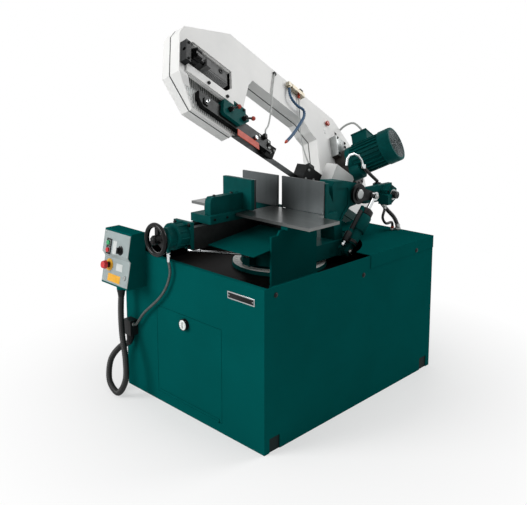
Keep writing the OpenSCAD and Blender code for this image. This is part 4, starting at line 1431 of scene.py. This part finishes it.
    def hard_line(self) -> None:
        """Bent chrome pipe from the bow to the upper hose, with a hexagon at its end."""
        bend = Shape()
        path = [Vector(p) for p in self.pipe]
        for a, b in zip(path, path[1:]):
            bend.rod(a, b, self.pipe_r, sides=18).ball(b, self.pipe_r)
        bend.rod(path[-1] + Vector((0, 1, 12)), path[-1] + Vector((0, 0, -10)), 12.0, sides=HEX,
                 edge=1.0)
        bend.done("bent_pipe", Stock.CHROME, Part.ARM)


@dataclass
class GuideTrim:
    """Lever ends, screws, hook and roller of the blade guides; sizes in millimetres."""

    levers: tuple[tuple[Part, float, float, float], ...] = (
        (Part.CLAMP_FRONT, 818.0, 52.0, 35.0), (Part.CLAMP_REAR, 722.0, 54.0, 18.0))
    reach: float = 44.0
    ball_n: float = 90.4
    hub_n: float = 80.2
    tilt: float = -30.0

    def arm(self) -> Matrix:
        """Matrix of the arm's upright frame at rest."""
        return Matrix.Translation(Bow.PIVOT) @ Matrix.Rotation(math.radians(self.tilt), 4, "X") \
            @ Matrix.Translation((0, 0, -Bow.DROP))

    def build(self) -> None:
        """Make the fittings of both guides."""
        self.lever_balls()
        self.bar_fittings()
        self.screws()

    def lever_balls(self) -> None:
        """Red balls and hub screws of the two clamp levers."""
        for part, u, v, angle in self.levers:
            a = math.radians(angle)
            spot = (u - self.reach * math.cos(a), v + self.reach * math.sin(a), self.ball_n)
            Shape.on_bow().ball(spot, 10.8).done(f"{part.value}_ball", Stock.RED_BALL, part)
            Shape.on_bow().cap_screws([(u, v, self.hub_n)], 8.0) \
                .done(f"{part.value}_screw", Stock.BLACKED, part)

    def bar_fittings(self) -> None:
        """Hook and roller on the sliding bar."""
        Shape.on_bow().ring((959, 20, 60), (1, 0, 0.2), 8.0, 2.3) \
            .rod((959, 20, 51), (959, 20, 54), 5.0) \
            .done("bar_hook", Stock.CHROME, Part.GUIDE)
        roller = [(45.5, 60, 11.0, ROUND, 1.2), (59, 63, 6.0, HEX, 0.6)]
        Shape.on_bow().stack((616, 12, 0), AXIS_Z, roller) \
            .done("bar_roller", Stock.BRIGHT, Part.GUIDE)

    def screws(self) -> None:
        """Socket screws in the sliding bar, in both guide blocks and in the clamp."""
        Shape.on_bow().cap_screws([(512, 10, 45.7), (512, 44, 45.7), (580, 44, 45.7)], 5.5) \
            .done("bar_screws", Stock.ZINC, Part.GUIDE)
        front = ((-508, 36), (-474, 36), (-491, 18))
        Shape(self.arm()).cap_screws([(35.7, y, z) for y, z in front], 5.0, AXIS_X) \
            .done("front_guide_screws", Stock.ZINC, Part.GUIDE)
        rear = ((-205, 55), (-90, 55), (-148, 26), (-205, 8), (-90, 8))
        Shape(self.arm()).cap_screws([(45.7, y, z) for y, z in rear], 6.0, AXIS_X) \
            .done("rear_guide_screws", Stock.ZINC, Part.ARM)
        Shape.on_bow().cap_screws([(768, 108, 63.7), (716, 108, 63.7)], 6.5) \
            .done("clamp_screws", Stock.BLACKED, Part.ARM)


@dataclass
class Drive:
    """Fan cover, terminal lid, gear-case bolts and plate; sizes in bow millimetres."""

    axis: tuple[float, float] = (-180.0, 237.0)
    cover: tuple[float, float, float] = (92.0, 326.0, 392.0)
    rings: int = 7
    spokes: int = 12
    gear: tuple[float, float, float] = (-200.0, 195.0, 74.0)
    gear_bolts: int = 10
    # Circles without room for a bolt, as (u, v, radius): the motor's flange and the boss.
    taken: tuple[tuple[float, float, float], ...] = ((-180.0, 237.0, 97.0), (-168.0, 160.0, 58.0))
    plate: tuple[tuple[float, float], ...] = ((-168, 326), (-168, 373), (-71, 373), (-71, 246),
                                              (-104, 246))
    plate_bolts: tuple[tuple[float, float], ...] = ((-158, 362), (-84, 362), (-84, 258),
                                                    (-158, 336))

    def build(self) -> None:
        """Make the drive's fittings."""
        self.fan_cover()
        self.terminal_lid()
        self.gear_case()

    def fan_cover(self) -> None:
        """Pressed cover with a grille of rings and spokes."""
        (u, v), (r, low, end) = self.axis, self.cover
        shell = [(r + 0.1, low), (r + 1.5, low), (r + 1.5, end - 6), (r - 3, end + 1.6),
                 (r - 12, end + 2.4), (r - 12, end + 0.3), (r + 0.1, end - 8)]
        Shape.on_bow().lathe(shell, (u, v, 0), steps=56, closed=True) \
            .done("fan_shell", Stock.GREEN_CAST, Part.ARM)
        mesh = Shape.on_bow()
        mesh.lathe([(r - 11, end - 0.5), (r - 11, end + 0.4), (0, end + 0.4)], (u, v, 0), steps=40)
        for k in range(self.rings):
            mesh.ring((u, v, end + 1.2), AXIS_Z, 12 + 11 * k, 1.5, 40)
        hub = Matrix.Translation((u, v, 0))
        for k in range(self.spokes):
            mesh.block((10, -1.3, end), (r - 10, 1.3, end + 2.6), 0.4,
                       hub @ Matrix.Rotation(math.tau * k / self.spokes, 4, "Z"))
        mesh.done("fan_grille", Stock.FAN, Part.ARM)

    def terminal_lid(self) -> None:
        """Lid with four screws on the terminal box, and the cable's gland."""
        Shape.on_bow().block((-231, 370, 157), (-129, 379, 255), 2.0) \
            .done("terminal_lid", Stock.GREEN_CAST, Part.ARM)
        Shape.on_bow().domes([(u, 378.7, n) for u in (-222, -138) for n in (166, 246)], 5.0, 2.6,
                             AXIS_Y) \
            .done("lid_screws", Stock.ZINC, Part.ARM)
        Shape.on_bow().rod((-190, 378, 208), (-190, 388, 207), 12.0, sides=HEX, edge=0.9) \
            .rod((-190, 387, 207), (-191, 404, 204.5), 10.0, 7.0, edge=0.6) \
            .done("lid_gland", Stock.BLACK_ABS, Part.ARM)

    def gear_case(self) -> None:
        """Bolts round the gear case where there is room for them, and its pale bolted plate."""
        u, v, r = self.gear
        turns = [math.tau * k / self.gear_bolts for k in range(self.gear_bolts)]
        ring = [Vector((u + r * math.cos(a), v + r * math.sin(a))) for a in turns]
        free = [p for p in ring if all((p - Vector(c[:2])).length > c[2] for c in self.taken)]
        Shape.on_bow().hex_bolts([(*p, 119.6) for p in free], 6.5) \
            .hex_bolts([(*p, 98.7) for p in self.plate_bolts], 6.0) \
            .done("gear_case_bolts", Stock.BLACKED, Part.ARM)
        Shape.on_bow().prism(self.plate, 90, 99, 1.5).block((-76, 246, 56), (-70, 373, 98), 1.0) \
            .done("gear_case_plate", Stock.ALLOY, Part.ARM)


@dataclass
class FeedTrim:
    """Pivot cap, pin ends, cylinder collars, hose unions and lock; sizes in millimetres."""

    foot: tuple[float, float, float] = (258.0, 180.0, 662.0)
    angle: float = 47.57
    pin: tuple[float, float] = (405.0, 908.0)
    pivot_at: tuple[float, float, float] = (246.0, 300.0, 930.0)
    valve_at: tuple[float, float] = (545.0, 900.0)
    valve_circle: float = 39.0
    valve_screws: int = 6
    lock_at: tuple[float, float, float] = (0.0, -244.0, 678.0)
    lock_turn: float = 210.5

    def cylinder(self) -> Matrix:
        """Matrix of the feed cylinder: z runs along it from its foot pin."""
        turn = Matrix.Rotation(math.radians(self.angle - 90), 4, "X")
        return Matrix.Translation(self.foot) @ turn

    def build(self) -> None:
        """Make the fittings of pivot, cylinder, valve and lock."""
        self.pivot()
        self.collars()
        self.valve()
        self.unions()
        self.lock()

    def pivot(self) -> None:
        """Bright cap on the pivot disc, and washers with domed ends on both pins."""
        cap = [(24, -1), (24, 1.5), (20, 3.5), (8, 4.2), (0, 4.3)]
        Shape().lathe(cap, self.pivot_at, AXIS_X, 40).done("pivot_cap", Stock.ALLOY, Part.ARM)
        for name, x, (y, z), part in (("rod_pin_end", 271, self.pin, Part.ARM),
                                      ("foot_pin_end", 279, self.foot[1:], Part.SWIVEL)):
            Shape().rod((x, y, z), (x + 3, y, z), 15.0, edge=0.5) \
                .domes([(x + 3, y, z)], 9.0, 4.0, AXIS_X) \
                .done(name, Stock.ZINC, part)

    def collars(self) -> None:
        """Dark clamp collar, sleeve, base ring, black side tube and its valve on the cylinder."""
        place = self.cylinder()
        collar = [(30.1, 212), (33, 214), (33, 240), (31.5, 243), (30.1, 243)]
        gland = [(11.8, 244.5), (25, 244.5), (24, 249), (11.8, 249)]
        Shape(place).lathe(collar, steps=44, closed=True).lathe(gland, closed=True) \
            .block((-6, 30, 214), (6, 44, 238), 1.5) \
            .done("cylinder_collar", Stock.BLACKED, Part.CYLINDER)
        sleeve = [(30.1, 118), (36, 119), (37.5, 122), (37.5, 206), (36, 209), (30.1, 210)]
        Shape(place).lathe(sleeve, steps=48, closed=True) \
            .done("cylinder_sleeve", Stock.GREEN_CAST, Part.CYLINDER)
        Shape(place).lathe([(30.1, 44), (33, 46), (33, 60), (30.1, 62)], steps=44, closed=True) \
            .done("cylinder_base_ring", Stock.BLACKED, Part.CYLINDER)
        Shape(place).stack((0, -46, 0), AXIS_Z, [(101, 213, 11.0, ROUND, 0.8)]) \
            .stack((0, -50, 0), AXIS_Z, [(30, 82, 16.0, ROUND, 1.6)]) \
            .done("side_tube", Stock.BLACK_ABS, Part.CYLINDER)
        valve = [(12, 31, 8.0, ROUND, 0.8), (2, 14, 11.0, HEX, 0.9)]
        Shape(place).stack((0, -50, 0), AXIS_Z, valve) \
            .done("side_valve", Stock.BRIGHT, Part.CYLINDER)

    def valve(self) -> None:
        """Screws on the valve's hexagon, a bright dial behind its knob, and the knob's mark."""
        (y, z), r = self.valve_at, self.valve_circle
        turns = [math.tau * (k + 0.5) / self.valve_screws for k in range(self.valve_screws)]
        feet = [(264.7, y + r * math.cos(a), z + r * math.sin(a)) for a in turns]
        Shape().cap_screws(feet, 4.5, AXIS_X).done("valve_screws", Stock.BLACKED, Part.SWIVEL)
        dial = [(20.5, 275.6), (28.5, 275.6), (28.5, 276.8), (20.5, 276.8)]
        Shape().lathe(dial, (0, y, z), AXIS_X, 40, closed=True) \
            .done("valve_dial", Stock.ALLOY, Part.SWIVEL)
        Shape().block((299.6, 543.6, 903), (300.8, 546.4, 917), 0.3) \
            .done("knob_index", Stock.PALE_FILM, Part.FEED)

    def unions(self) -> None:
        """Hexagon unions where the hoses meet the deck, the valve and the bracket."""
        Shape().stack((276, 594, 0), AXIS_Z, [(702, 716, 16.0, HEX, 1.0)]) \
            .rod((276, 594, 715), (276, 594, 735), 13.5, 11.6, edge=0.6) \
            .stack((260, 568, 0), AXIS_Z, [(702, 714, 10.5, HEX, 0.8)]) \
            .done("deck_unions", Stock.ZINC, Part.CABINET)
        Shape().stack((260, 568, 0), AXIS_Z, [(713, 725, 8.6, ROUND, 0.6)]) \
            .done("hose_band", Stock.ORANGE, Part.CABINET)
        union = [(853, 842, 11.0, HEX, 0.8), (843, 830, 8.4, ROUND, 0.6)]
        Shape().stack((262, 490, 0), AXIS_Z, union) \
            .done("valve_union", Stock.ZINC, Part.SWIVEL)
        grommet = [(12.2, 949), (17, 949), (17, 954), (12.2, 954)]
        Shape().lathe(grommet, (182, 534, 0), steps=32, closed=True) \
            .done("hose_grommet", Stock.BLACK_ABS, Part.SWIVEL)

    def lock(self) -> None:
        """Chrome grip and hub cap of the swivel's lock lever."""
        x, y, _ = self.lock_at
        turn = Matrix.Rotation(math.radians(self.lock_turn), 4, "Z")
        grip = [(6.2, 238), (9, 240), (11.4, 246), (11.4, 300), (9, 305.5), (0, 307)]
        Shape(Matrix.Translation(self.lock_at) @ turn).lathe(grip, along=AXIS_X, steps=28) \
            .done("lock_grip", Stock.CHROME, Part.LOCK)
        Shape().lathe([(16, 686.5), (16, 689), (11, 692), (0, 692.6)], (x, y, 0), steps=28) \
            .done("lock_cap", Stock.CHROME, Part.LOCK)


class Dressing:
    """Finishes of the nodes that keep their shape."""

    NODES: tuple[tuple[Finish, str], ...] = (
        (Stock.GREEN_SHEET, "front_panel right_panel back_panels rear_deck table_support "
                            "chip_chute console_case door"),
        (Stock.GREEN_CAST, "turntable_base jaw_support screw_housing movable_jaw swivel_frame "
                           "feed_valve guide_clamp motor cylinder_barrel"),
        (Stock.WHITE, "arm_frame wheel_cover"),
        (Stock.FRAME_GREY, "base_frame"),
        (Stock.TRAY, "chip_tray"),
        (Stock.SCALE, "scale_ring"),
        (Stock.IRON, "vise_bed drive_wheel idler_wheel"),
        (Stock.TABLE, "work_table"),
        (Stock.JAW, "fixed_jaw_plates jaw_face_plate"),
        (Stock.PANEL, "console_panel"),
        # door_latch is black partly as painted shadow round its white cap.
        (Stock.BLACK_ABS, "gland_box door_latch feed_knob tension_block coolant_tap mode_switch"),
        (Stock.BRIGHT, "vise_screw lock_lever"),
        (Stock.PHENOLIC, "vise_handwheel tension_handwheel"),
        (Stock.BLACKED, "pivot_crank guide_bar clamp_lever_front clamp_lever_rear rear_guide"),
        (Stock.BAND, "blade"),
        (Stock.SLIDE, "tension_slide"),
        (Stock.ORANGE, "blade_guard"),
        (Stock.CASE, "gearbox"),
        (Stock.NICKEL, "coolant_valve"),
        (Stock.CHROME, "cylinder_rod"),
        (Stock.GREEN_CAP, "start_button"),
        (Stock.RED, "stop_button estop_button"))

    def build(self) -> None:
        """Give every node its material."""
        for finish, names in self.NODES:
            for name in names.split():
                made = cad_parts[name]
                made.data.materials.clear()
                made.data.materials.append(finish.material())
                log.info("node %s in %s", name, finish.name)


def main() -> None:
    """Build the studio, the hoses and every fitting."""
    logging.basicConfig(level=logging.INFO, format="%(message)s")
    for maker in (Studio(), Lines(), Dressing(), CabinetTrim(), Console(), Vise(), BowTrim(),
                  GuideTrim(), Drive(), FeedTrim()):
        maker.build()


if __name__ == "__main__":
    main()
